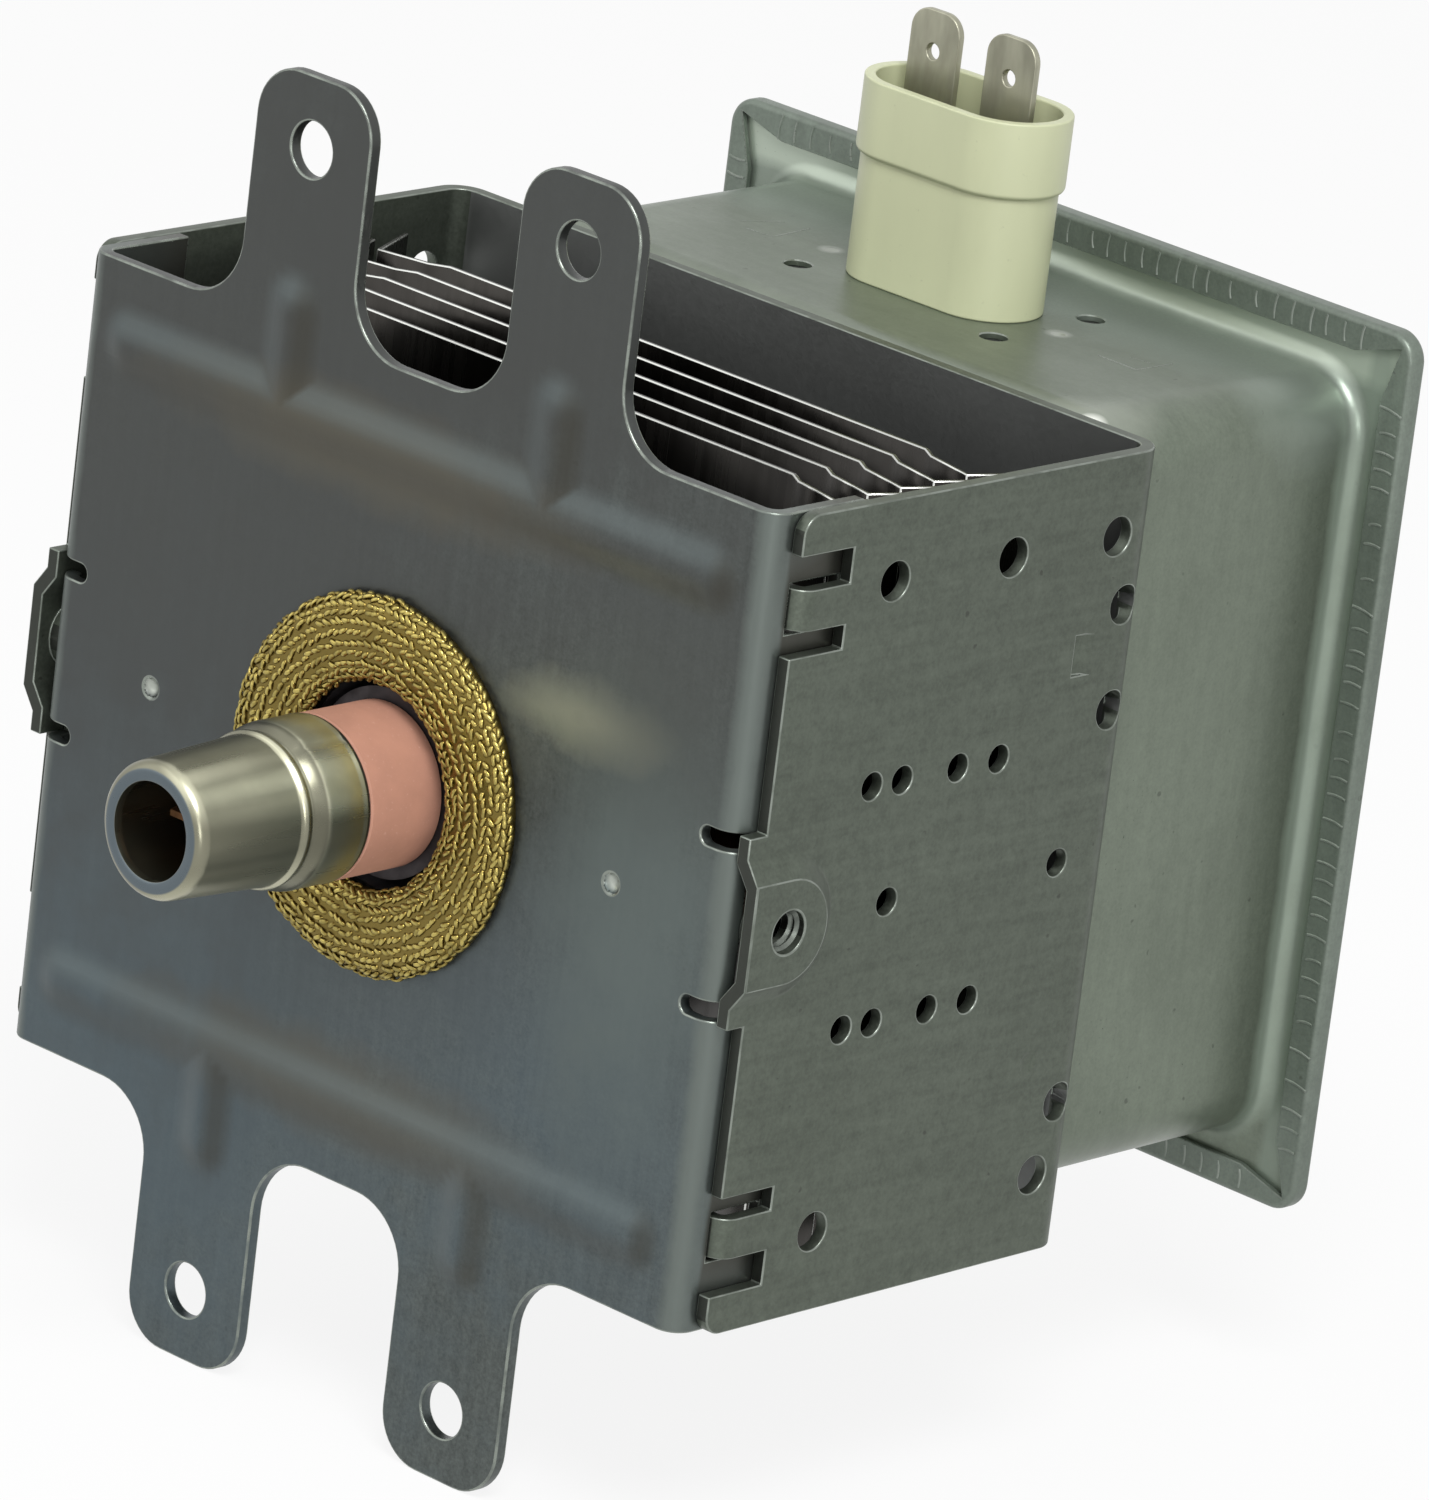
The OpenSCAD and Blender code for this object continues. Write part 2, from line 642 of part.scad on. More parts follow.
// Cuts of one wall's front edge, for the wall at +X and the half at +Z
module wall_cuts() {
  x0 = wall_in_x - over;
  w = sheet_t + 2 * over;
  half_h = plate_h / 2;
  inner_z = hook_z - hook_w / 2 - hook_inner_cut;
  outer_z = hook_z + hook_w / 2 + hook_outer_cut;
  translate([x0, -over, tab_h / 2]) cube([w, yoke_edge + over, half_h]);
  translate([x0, 0, inner_z]) cube([w, hook_back_y, outer_z - inner_z]);
  translate([x0, yoke_edge, half_h]) rotate([0, 90, 0]) linear_extrude(w) difference() {
    translate([-over, -over]) square(wall_corner_r + over);
    translate([wall_corner_r, wall_corner_r]) circle(wall_corner_r);
  }
}

module yoke_frame() {
  yoke_w = 2 * wall_x;
  color([0.45, 0.47, 0.43]) difference() {
    union() {
      difference() {
        translate([0, yoke_y, 0]) mirror([0, 1, 0]) linear_extrude(plate_h, center = true) difference() {
          folded_front(yoke_w, yoke_y - tab_edge, yoke_fold_r);
          translate([0, sheet_t]) folded_front(yoke_w - 2 * sheet_t, yoke_y, yoke_fold_r - sheet_t);
        }
        for (mx = [0, 1], mz = [0, 1]) mirror([mx, 0, 0]) mirror([0, 0, mz]) wall_cuts();
      }
      for (mx = [0, 1]) mirror([mx, 0, 0]) {
        for (z = sides) translate([0, 0, z * hook_z]) hook_tongue();
        boss_block(wall_x, boss_x, 0, sheet_t / 2);
      }
    }
    for (mx = [0, 1]) mirror([mx, 0, 0]) {
      difference() {
        boss_block(wall_in_x, boss_x - sheet_t, sheet_t, over);
        screw_bar(screw_d + 2 * sheet_t);
      }
      screw_bar(screw_d);
      for (y = large_top_y) wall_hole(y, large_row_z, large_hole_d);
      for (y = large_bottom_y) wall_hole(y, -large_row_z, large_hole_d);
      for (z = rear_hole_z) wall_hole(rear_hole_y, z, large_hole_d);
      for (y = small_row_y, s = sides) wall_hole(y, s * small_row_z, small_hole_d);
      for (y = small_mid_y) wall_hole(y, 0, small_hole_d);
      lanced_mark();
      translate([wall_x + dent_r - dent_depth, yoke_y - dent_rear, -dent_z]) sphere(dent_r);
    }
    bar_y(throat_d, yoke_in_y - over, yoke_y + over);
  }
}

module wall_hole(y, z, d) {
  translate([wall_in_x - over, y, z]) rotate([0, 90, 0]) cylinder(d = d, h = sheet_t + 2 * over);
}

// A mark in the wall at +X that is pressed in at its front and runs out behind
module lanced_mark() {
  floor_x = wall_x - lance_depth;
  out_x = wall_x + over;
  translate([0, yoke_y - lance_rear, lance_z]) linear_extrude(lance_h, center = true)
    polygon([[floor_x, 0], [out_x, 0], [out_x, lance_len * (out_x - floor_x) / lance_depth]]);
}

// A round bar on a screw's axis, through the wall at +X and its boss
module screw_bar(d) {
  translate([wall_in_x - over, screw_y, 0]) rotate([0, 90, 0])
    cylinder(d = d, h = boss_x - wall_in_x + 2 * over);
}

module rf_gasket() {
  half_w = (gasket_d - gasket_bore) / 4;
  steps = 14;
  color([0.72, 0.58, 0.20]) mirror([0, 1, 0]) along_y() rotate_extrude()
    translate([gasket_bore / 2 + half_w, 0])
      polygon([for (i = [0 : steps]) let (a = 180 * i / steps)
        [-half_w * cos(a), gasket_rise * sqrt(sin(a))]]);
}

module antenna_cap() {
  collar_r = cap_collar_d / 2;
  barrel_r = cap_barrel_d / 2;
  tip_r = cap_tip_d / 2;
  color([0.74, 0.71, 0.63]) translate([0, cap_y, 0]) mirror([0, 1, 0])
  along_y() rotate_extrude() difference() {
    union() {
      square([collar_r, cap_collar_len]);
      polygon([[0, cap_collar_len], [collar_r, cap_collar_len], [barrel_r, cap_collar_len + cap_neck],
        [tip_r, cap_len - cap_rim_r], [0, cap_len - cap_rim_r]]);
      translate([barrel_r - cap_bead, cap_collar_len + cap_neck + 2 * cap_bead]) circle(2 * cap_bead);
      square([tip_r - cap_rim_r, cap_len]);
      translate([tip_r - cap_rim_r, cap_len - cap_rim_r]) circle(cap_rim_r);
    }
    translate([0, -over]) square([cap_in_r, cap_collar_len + over]);
    polygon([[0, cap_collar_len - over], [barrel_r - cap_t, cap_collar_len - over],
      [barrel_r - cap_t, cap_collar_len + cap_neck],
      [tip_r - cap_t, cap_len - 2 * cap_t], [0, cap_len - 2 * cap_t]]);
    square([cap_mouth_d / 2, cap_len + over]);
    translate([-2 * collar_r, -over]) square([2 * collar_r, cap_len + 2 * over]);
  }
}

module output_ceramic() {
  color([0.86, 0.56, 0.48]) difference() {
    bar_y(ceramic_d, cap_y, ceramic_y);
    bar_y(ceramic_bore, cap_y - over, ceramic_y + over);
  }
}

// A seal cup with its flange at y = 0 and its tube rising along the axis to a lip that turns inwards
module seal_cup(len, lip_d) {
  along_y() rotate_extrude() {
    translate([seal_in_r, 0]) square([anode_d / 2 - seal_in_r, seal_t]);
    translate([seal_in_r, 0]) square([seal_t, len]);
    translate([lip_d / 2, len - seal_t]) square([seal_d / 2 - lip_d / 2, seal_t]);
  }
}

module output_seal() {
  color([0.32, 0.31, 0.31]) translate([0, anode_y, 0]) mirror([0, 1, 0])
    seal_cup(anode_y - ceramic_y, ceramic_bore);
}

module exhaust_tube() {
  flange_r = cap_in_r - exhaust_fit;
  tube_y = cap_y - exhaust_flange_t;
  pinch_y = tube_y - exhaust_len;
  color([0.62, 0.36, 0.22]) {
    bar_y(2 * flange_r, tube_y, cap_y);
    bar_y(exhaust_d, pinch_y, tube_y + exhaust_flange_t / 2);
    hull() {
      bar_y(exhaust_d, pinch_y - pinch_t, pinch_y, $fn = hull_fn);
      translate([-exhaust_d / 2, pinch_y - pinch_len, -pinch_t / 2]) cube([exhaust_d, pinch_t, pinch_t]);
    }
  }
}

module antenna_lead() {
  bend_y = seal1_y - antenna_bend;
  axis_y = ceramic_y + antenna_bend;
  color([0.72, 0.45, 0.28]) {
    translate([antenna_x, 0, 0]) bar_y(antenna_d, bend_y, vane_front_y);
    rod([antenna_x, bend_y, 0], [0, axis_y, 0], antenna_d);
    bar_y(antenna_d, cap_y, axis_y);
  }
}

module ring_magnet(y) {
  color([0.20, 0.20, 0.21]) difference() {
    bar_y(magnet_d, y, y + magnet_t);
    bar_y(magnet_bore, y - over, y + magnet_t + over);
  }
}

module front_magnet() {
  ring_magnet(sheet_t);
}

module rear_magnet() {
  ring_magnet(magnet2_y);
}

// A pole piece: a flat ring that fits the anode's end and dishes inwards round its bore
module pole_piece() {
  dish_r = seal_in_r + pole_step;
  tip_r = pole_bore / 2;
  color([0.50, 0.50, 0.50]) along_y() rotate_extrude()
    polygon([[dish_r, 0], [anode_in_r, 0], [anode_in_r, pole_t], [dish_r, pole_t],
      [tip_r + pole_t / 2, pole_cone], [tip_r, pole_cone], [tip_r, pole_cone - pole_t]]);
}

module front_pole() {
  difference() {
    translate([0, anode_y, 0]) pole_piece();
    translate([antenna_x, 0, 0]) bar_y(antenna_d + 2 * lead_clear, anode_y - over, vane_front_y);
  }
}

module rear_pole() {
  translate([0, anode_end_y, 0]) mirror([0, 1, 0]) pole_piece();
}

module anode_shell() {
  color([0.72, 0.45, 0.30]) difference() {
    bar_y(anode_d, anode_y, anode_end_y);
    bar_y(2 * anode_in_r, anode_y - over, anode_end_y + over);
  }
}

// The ring of a strap, at the vanes' front edge or their back edge
module strap_ring(at_front, inside_d, grow) {
  y0 = at_front ? vane_front_y : vane_back_y - strap_t;
  difference() {
    bar_y(inside_d + 2 * strap_w + 2 * grow, y0 - grow, y0 + strap_t + grow);
    bar_y(inside_d - 2 * grow, y0 - over, y0 + strap_t + over);
  }
}

module anode_vane(i) {
  even = i % 2;
  color([0.74, 0.47, 0.31]) difference() {
    intersection() {
      rotate([0, -360 * i / vane_count, 0])
        translate([vane_tip_d / 2, vane_front_y, -vane_t / 2]) cube([anode_in_r, vane_h, vane_t]);
      bar_y(2 * anode_in_r, vane_front_y - over, vane_back_y + over);
    }
    for (at_front = [true, false]) {
      strap_ring(at_front, strap_inner_d, even == 0 ? 0 : strap_clear);
      strap_ring(at_front, strap_outer_d, even == 0 ? strap_clear : 0);
    }
  }
}

module strap(i) {
  color([0.78, 0.52, 0.36]) strap_ring(i < 2, i % 2 == 0 ? strap_inner_d : strap_outer_d, 0);
}

module filament() {
  steps = 12;
  turns = filament_turns;
  rise = filament_len - filament_wire_d;
  path = [for (i = [0 : steps * turns])
    [filament_r * cos(360 * i / steps), filament_r * sin(360 * i / steps), rise * i / (steps * turns)]];
  color([0.55, 0.54, 0.52]) translate([0, filament_y + filament_wire_d / 2, 0]) along_y()
    wire(path, filament_wire_d, 6);
}

module front_hat() {
  color([0.48, 0.47, 0.46]) {
    bar_y(hat_d, filament_y - hat_t, filament_y);
    bar_y(hat_boss_d, filament_y - hat_t / 2, filament_y + hat_t);
  }
}

module rear_hat() {
  bore_d = lead_d + 2 * lead_clear;
  color([0.48, 0.47, 0.46]) difference() {
    union() {
      bar_y(hat_d, filament_end_y, filament_end_y + hat_t);
      bar_y(hat_boss_d, filament_end_y - hat_t, filament_end_y + hat_t / 2);
    }
    bar_y(bore_d, filament_end_y - hat_t - over, filament_end_y + hat_t + over);
  }
}

module centre_lead() {
  color([0.58, 0.57, 0.55]) bar_y(lead_d, filament_y + hat_t, lead_end_y);
}

module side_lead() {
  color([0.58, 0.57, 0.55]) translate([-side_lead_x, 0, 0]) bar_y(lead_d, filament_end_y + hat_t, lead_end_y);
}

module stem_seal() {
  color([0.55, 0.54, 0.52]) translate([0, anode_end_y, 0]) seal_cup(stem_seal_y - anode_end_y, ceramic_bore);
}

module stem_ceramic() {
  color([0.90, 0.88, 0.84]) difference() {
    bar_y(ceramic_d, stem_seal_y, stem_end_y);
    for (x = [0, -side_lead_x]) translate([x, 0, 0]) bar_y(lead_d, stem_seal_y - over, stem_end_y + over);
  }
}

// The direction across a bent sheet's section at one point of its middle line, longer at a knee
function across(p, q) = [p[1] - q[1], q[0] - p[0]] / norm(q - p);
function knee_across(path, i) =
  let (a = across(path[max(i - 1, 0)], path[max(i, 1)]),
       b = across(path[min(i, len(path) - 2)], path[min(i + 1, len(path) - 1)]))
  (a + b) / (1 + a * b);

// A fin's section: flat in the middle, with a jog, a slanted part and a bent edge on each side
module fin_section() {
  bend_x = fin_flat + fin_slant;
  half = [[fin_flat, 0], [fin_flat + fin_slant / 4, -fin_jog], [bend_x, -2 * fin_jog],
    [bend_x + fin_edge_w, fin_edge_y - 2 * fin_jog]];
  last = len(half) - 1;
  path = concat([for (k = [last : -1 : 0]) [-half[k][0], half[k][1]]], half);
  end = len(path) - 1;
  front = [for (k = [0 : end]) path[k] - knee_across(path, k) * fin_t / 2];
  back = [for (k = [end : -1 : 0]) path[k] + knee_across(path, k) * fin_t / 2];
  polygon(concat(front, back));
}

module cooling_fin(i) {
  y = anode_y + fin_first + fin_pitch * (i - 1);
  color([0.66, 0.67, 0.66]) difference() {
    union() {
      translate([0, y, 0]) linear_extrude(fin_h, center = true) fin_section();
      bar_y(anode_d + 2 * fin_t, y - fin_t / 2, y - fin_t / 2 + fin_collar);
    }
    bar_y(anode_d, y - fin_t - over, y + fin_collar + over);
  }
}

// A drawn block: its corners along Y and its edges round the face at y = 0 are round
module drawn_block(w, h, depth, r, edge_r) {
  for (x = sides, z = sides) translate([x * (w / 2 - r), 0, z * (h / 2 - r)]) along_y() rotate_extrude() {
    translate([0, edge_r]) square([r, depth - edge_r]);
    square([r - edge_r, depth]);
    intersection() {
      translate([r - edge_r, edge_r]) circle(edge_r);
      square([r, depth]);
    }
  }
  linear_extrude(h - 2 * r, center = true) folded_front(w, depth, edge_r);
  rotate([0, 90, 0]) linear_extrude(w - 2 * r, center = true) folded_front(h, depth, edge_r);
}

// The outside fillet between the drawn box and its flange, with the box's corners as its own
module flange_fillet(w, h, r, fillet) {
  module section(from) {
    translate([from, -fillet]) difference() {
      square(fillet);
      translate([fillet, 0]) circle(fillet);
    }
  }
  for (x = sides, z = sides) translate([x * (w / 2 - r), 0, z * (h / 2 - r)])
    along_y() rotate_extrude() section(r);
  for (mx = [0, 1]) mirror([mx, 0, 0]) linear_extrude(h - 2 * r, center = true) section(w / 2);
  for (mz = [0, 1]) mirror([0, 0, mz]) rotate([0, -90, 0])
    linear_extrude(w - 2 * r, center = true) section(h / 2);
}

module filter_box() {
  plate_dx = cap_hole_dx / 2;
  plate_dy = cap_hole_dy / 2;
  color([0.53, 0.55, 0.51]) translate([0, yoke_y, box_rise]) difference() {
    union() {
      drawn_block(box_w, box_h, box_depth, box_r, box_front_r);
      translate([0, box_depth - box_t, 0]) flange_fillet(box_w, box_h, box_r, box_fillet);
      sheet_y(box_depth - box_t, box_depth) round_rect(flange_w, flange_h, flange_corner_r);
    }
    translate([0, box_t, 0])
      drawn_block(box_w - 2 * box_t, box_h - 2 * box_t, box_depth, box_r - box_t, box_front_r - box_t);
    translate([0, -yoke_y, -box_rise]) bar_y(throat_d, yoke_y - over, yoke_y + box_t + over);
    translate([0, conn_y, box_h / 2 - box_t - over]) linear_extrude(box_t + 2 * over) {
      oval(spigot_len + 2 * conn_clear, spigot_w + 2 * conn_clear);
      for (x = sides, y = sides) translate([x * plate_dx, y * plate_dy]) circle(d = cap_hole_d);
    }
    for (x = sides) translate([x * dot_x, conn_y, box_h / 2 + dot_r - dot_depth]) sphere(dot_r);
  }
}

module filter_cover() {
  inner_x = cover_w / 2 - hem_w;
  inner_z = cover_h / 2 - hem_w;
  apex = hem_w - cover_corner_r / 2;
  color([0.50, 0.52, 0.48]) translate([0, 0, box_rise]) difference() {
    sheet_y(cover_front_y, cover_back_y) round_rect(cover_w, cover_h, cover_corner_r);
    sheet_y(cover_front_y + cover_t, cover_back_y - cover_t)
      round_rect(flange_w + 2 * hem_clear, flange_h + 2 * hem_clear, flange_corner_r + hem_clear);
    sheet_y(cover_front_y - over, cover_back_y - cover_t)
      square([cover_w - 2 * hem_w, cover_h - 2 * hem_w], center = true);
    // The folded strips end in slants, which leave the flange's corners bare
    for (mx = [0, 1], mz = [0, 1]) mirror([mx, 0, 0]) mirror([0, 0, mz])
      sheet_y(cover_front_y - over, cover_front_y + cover_t + over / 2)
        polygon([[inner_x - hem_mitre, inner_z], [inner_x + apex, inner_z + apex],
          [inner_x, inner_z - hem_mitre]]);
  }
}

// The connector's oval at a height over the box's top
module oval_block(len, w, z0, z1) {
  translate([0, conn_pos_y, z0]) linear_extrude(z1 - z0) oval(len, w);
}

module connector_shell() {
  step_z = box_top_z + conn_step;
  floor_z = rim_z - conn_hollow;
  hollow_len = conn_len + 2 * conn_collar - 2 * conn_wall;
  hollow_w = conn_w + 2 * conn_collar - 2 * conn_wall;
  color([0.93, 0.90, 0.76]) difference() {
    union() {
      oval_block(conn_len, conn_w, box_top_z, rim_z);
      oval_block(conn_len + 2 * conn_collar, conn_w + 2 * conn_collar, step_z, rim_z);
      oval_block(spigot_len, spigot_w, plate_under_z, box_top_z);
    }
    oval_block(hollow_len, hollow_w, step_z + conn_collar, rim_z + over);
    oval_block(spigot_len, spigot_w, floor_z, rim_z);
    for (x = sides) translate([x * tab_pitch / 2 - shank_w / 2, conn_pos_y - tab_t / 2, plate_under_z - over])
      cube([shank_w, tab_t, floor_z - plate_under_z + 2 * over]);
  }
}

// A flat terminal: a tab with a round tip over the connector's floor and a narrow shank under it
module terminal(x) {
  floor_z = rim_z - conn_hollow;
  color([0.62, 0.61, 0.56]) translate([x, conn_pos_y, 0]) sheet_y(-tab_t / 2, tab_t / 2) difference() {
    union() {
      translate([0, (floor_z + tab_tip_z) / 2]) round_rect(tab_w, tab_tip_z - floor_z, tab_corner_r);
      translate([-tab_w / 2, floor_z]) square([tab_w, tab_corner_r]);
      translate([-shank_w / 2, shank_end_z]) square([shank_w, floor_z - shank_end_z + over]);
    }
    translate([0, tab_tip_z - tab_hole_drop]) circle(d = tab_hole_d);
  }
}

module left_terminal() {
  terminal(-tab_pitch / 2);
}

module right_terminal() {
  terminal(tab_pitch / 2);
}

module capacitor_plate() {
  w = cap_hole_dx + 2 * cap_plate_margin;
  h = cap_hole_dy + 2 * cap_plate_margin;
  color([0.60, 0.60, 0.58]) translate([0, conn_pos_y, plate_under_z])
  linear_extrude(cap_plate_t) difference() {
    round_rect(w, h, cap_plate_margin);
    oval(spigot_len + 2 * conn_clear, spigot_w + 2 * conn_clear);
    for (x = sides, y = sides) translate([x * cap_hole_dx / 2, y * cap_hole_dy / 2]) circle(d = cap_hole_d);
  }
}

module capacitor_case() {
  color([0.25, 0.24, 0.23]) difference() {
    oval_block(conn_len, conn_w, case_z, plate_under_z);
    oval_block(conn_len - 2 * case_wall, conn_w - 2 * case_wall, case_z - over,
      plate_under_z - 4 * case_wall);
    for (x = sides) translate([x * tab_pitch / 2 - shank_w / 2, conn_pos_y - tab_t / 2, case_z])
      cube([shank_w, tab_t, cap_case_h + over]);
  }
}

// A choke's wire: from a cathode lead, round the core and on to a terminal's shank, on the +X side
module choke(lead_x) {
  steps = 14;
  count = steps * choke_turns + steps / 2;
  wire_r = choke_wire_d / 2;
  coil = [for (i = [0 : count]) let (turn = i / steps)
    [choke_x + choke_r * sin(360 * turn), conn_pos_y - choke_r * cos(360 * turn), choke_pitch * turn]];
  from = [lead_x - wire_r, lead_end_y + wire_r, 0];
  past = [lead_x + lead_d, lead_end_y + wire_r, 0];
  to = [tab_pitch / 2 - shank_w / 2, conn_pos_y + tab_t / 2 + wire_r, choke_end_z];
  color([0.66, 0.40, 0.24]) wire(concat([from, past], coil, [to]), choke_wire_d, 8);
}

module left_choke() {
  mirror([1, 0, 0]) choke(side_lead_x);
}

module right_choke() {
  choke(0);
}

module choke_core(x) {
  color([0.24, 0.23, 0.23]) translate([x, conn_pos_y, -core_reach])
    cylinder(d = core_d, h = choke_end_z + 2 * core_reach);
}

module left_core() {
  choke_core(-choke_x);
}

module right_core() {
  choke_core(choke_x);
}

mounting_plate();
yoke_frame();
rf_gasket();
antenna_cap();
output_ceramic();
output_seal();
exhaust_tube();
antenna_lead();
front_magnet();
rear_magnet();
front_pole();
rear_pole();
anode_shell();
for (i = [1 : vane_count]) anode_vane(i);
for (i = [0 : 3]) strap(i);
filament();
front_hat();
rear_hat();
centre_lead();
side_lead();
stem_seal();
stem_ceramic();
for (i = [1 : fin_count]) cooling_fin(i);
filter_box();
filter_cover();
connector_shell();
left_terminal();
right_terminal();
capacitor_plate();
capacitor_case();
left_choke();
right_choke();
left_core();
right_core();
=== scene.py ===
"""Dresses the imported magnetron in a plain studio: plated sheets, knitted gasket, sealed tube, filter and connector."""

import json
import math

import bmesh
import bpy
from bpy.props import FloatProperty, FloatVectorProperty, IntProperty, PointerProperty
from mathutils import Matrix, Vector, noise


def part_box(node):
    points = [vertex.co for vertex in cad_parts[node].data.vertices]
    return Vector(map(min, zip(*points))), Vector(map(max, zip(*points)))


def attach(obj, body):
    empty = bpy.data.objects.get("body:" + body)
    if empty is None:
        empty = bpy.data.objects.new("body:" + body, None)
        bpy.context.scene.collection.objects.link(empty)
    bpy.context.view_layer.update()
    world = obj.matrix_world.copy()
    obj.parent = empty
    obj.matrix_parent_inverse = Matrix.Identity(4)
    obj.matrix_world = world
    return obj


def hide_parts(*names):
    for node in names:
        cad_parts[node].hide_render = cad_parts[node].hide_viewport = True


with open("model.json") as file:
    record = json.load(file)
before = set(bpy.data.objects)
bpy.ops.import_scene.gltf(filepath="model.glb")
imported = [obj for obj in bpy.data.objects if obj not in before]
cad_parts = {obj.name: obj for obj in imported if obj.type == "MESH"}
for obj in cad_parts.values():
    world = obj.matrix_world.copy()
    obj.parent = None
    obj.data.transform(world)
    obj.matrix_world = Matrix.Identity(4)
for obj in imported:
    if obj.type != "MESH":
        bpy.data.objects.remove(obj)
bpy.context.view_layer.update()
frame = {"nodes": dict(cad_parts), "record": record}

bl_info = {
    "name": "Magnetron dressing",
    "version": (1, 0, 0),
    "blender": (4, 5, 0),
    "location": "3D View > Sidebar > Magnetron",
    "description": "Gives the packed magnetron its finishes and fine pieces, and sets up its studio",
    "category": "Object",
}

MM = 0.001
HAIR = 1e-7  # a vertex closer than this to a cut lies on it
SAME = 1e-6  # places closer than this are one place
NEAR = 0.02 * MM  # how close to a plane counts as on it
FLAT = math.radians(0.4)  # faces that meet at less than this are one flat
FACING = 0.95  # least part of a normal along an axis, for a face of the yoke that looks that way
FRONTAL = 0.9  # the same for the plate's front and back
KNIT_SEED = 7  # makes the gasket's stitches the same at each run
PHOTO_WIDTH = 1429
PHOTO_HEIGHT = 1500
SENSOR = 36.0  # width of the camera's sensor in millimetres
LIT_PLACE = Vector((0.0, 0.03, 0.0))  # what the lights point at

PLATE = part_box("mounting_plate")
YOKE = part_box("yoke_frame")
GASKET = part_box("rf_gasket")
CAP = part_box("antenna_cap")
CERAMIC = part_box("output_ceramic")
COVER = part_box("filter_cover")
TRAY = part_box("filter_box")


def length(name, description, millimetres):
    """A property for a length, with its default in millimetres."""
    return FloatProperty(name=name, description=description, default=millimetres * MM, unit="LENGTH", precision=5)


def angle(name, description, degrees):
    """A property for an angle, with its default in degrees."""
    return FloatProperty(name=name, description=description, default=math.radians(degrees), subtype="ANGLE")


def number(name, description, value):
    """A property for a plain number."""
    return FloatProperty(name=name, description=description, default=value)


def tint(name, description, rgb):
    """A property for a colour in linear light."""
    return FloatVectorProperty(
        name=name, description=description, default=rgb, subtype="COLOR", size=3, min=0.0, max=1.0
    )


class SheetSettings(bpy.types.PropertyGroup):
    """Sizes and colours of the folded and drawn steel sheets, with the painted light and shade on them."""

    edge_round: length("Plate edges", "Rounding of the plate's cut edges", 0.2)
    yoke_round: length("Yoke edges", "Rounding of the yoke's cut edges", 0.14)
    boss_round: length("Boss edges", "Rounding of the screw bosses' rims", 0.09)
    box_round: length("Box edges", "Rounding of the filter box's cut edges", 0.12)
    cover_round: length("Cover edges", "Rounding of the cover's cut edges", 0.1)
    hem_round: length("Hem", "Rounding of the cover's folded rim", 0.6)
    rib_z: length("Rib place", "Distance of the cross ribs from the antenna's axis", 32.0)
    rib_half: length("Rib half length", "Half of a cross rib's length", 38.5)
    rib_rise: length("Rib rise", "Height of the ribs over the plate", 0.8)
    rib_soft: length("Rib foot", "Distance from a rib's middle to where it fades into the plate", 3.9)
    branch_x: length("Branch place", "Distance of the ribs' branches from the middle", 17.5)
    branch_end: length("Branch end", "Height at which a rib's branch ends", 41.5)
    rib_column: length("Rib columns", "Spacing of the ribs' mesh across the plate", 0.9)
    rib_row: length("Rib rows", "Spacing of the ribs' mesh up the plate", 0.84)
    plate_color: tint("Plate", "Plating of the mounting plate", (0.084, 0.096, 0.091))
    # Painted reflection: a bluish tone laid on the plate's lower parts.
    plate_blue: tint("Plate, blue", "Bluish bloom of the mounting plate's plating", (0.084, 0.114, 0.132))
    plate_warm: tint("Plate, warm", "Yellowish bloom on the plate's ribs", (0.100, 0.093, 0.071))
    # Painted shade: a darker tone laid on the plate's upper parts.
    plate_dark: tint("Plate, dull", "Duller plating of the plate's upper left", (0.064, 0.067, 0.064))
    # Painted highlight along the plate's rounded folds.
    plate_fold: tint("Plate, fold", "Polished folds of the plate", (0.137, 0.158, 0.145))
    plate_pale: tint("Plate, rubbed", "Rubbed patch beside the gasket", (0.215, 0.225, 0.175))
    # Painted light: a paler tone laid on the plate's right side.
    plate_right: tint("Plate, right", "Paler plating at the plate's right edge", (0.112, 0.136, 0.130))
    # Painted glint in the plate's dimples.
    dimple_color: tint("Dimples", "Gleam in the plate's dimples", (0.46, 0.49, 0.44))
    # Painted light on the ribs' upper slopes and painted shade on their lower slopes.
    slope_color: tint("Ribs, lit", "Polished upper slopes of the ribs", (0.100, 0.122, 0.124))
    dull_color: tint("Ribs, dull", "Dull lower slopes of the ribs", (0.048, 0.045, 0.035))
    yoke_color: tint("Yoke", "Plating of the yoke", (0.101, 0.117, 0.094))
    tray_color: tint("Filter box", "Plating of the drawn filter box", (0.150, 0.178, 0.137))
    lid_color: tint("Filter cover", "Plating of the hemmed cover", (0.142, 0.172, 0.142))
    # Rubbed bare edges, also used as a painted highlight along rounded edges and round the bosses' rims.
    edge_color: tint("Bare edge", "Rubbed edges of the sheets", (0.240, 0.265, 0.235))
    # Bare cut faces darkened further with painted shade; the rear wall's top edge takes this tone as painted shade
    # only.
    cut_color: tint("Cut face", "Bare sheared faces of the yoke's front edges", (0.030, 0.032, 0.028))
    # Painted light that lifts the shade inside the yoke's back.
    inner_color: tint("Yoke, inside", "Cleaner plating inside the yoke's back", (0.165, 0.172, 0.166))
    sheet: length("Sheet", "Thickness of the plate's sheet", 1.4)
    fold: length("Fold", "Outside radius of the plate's folds", 2.4)


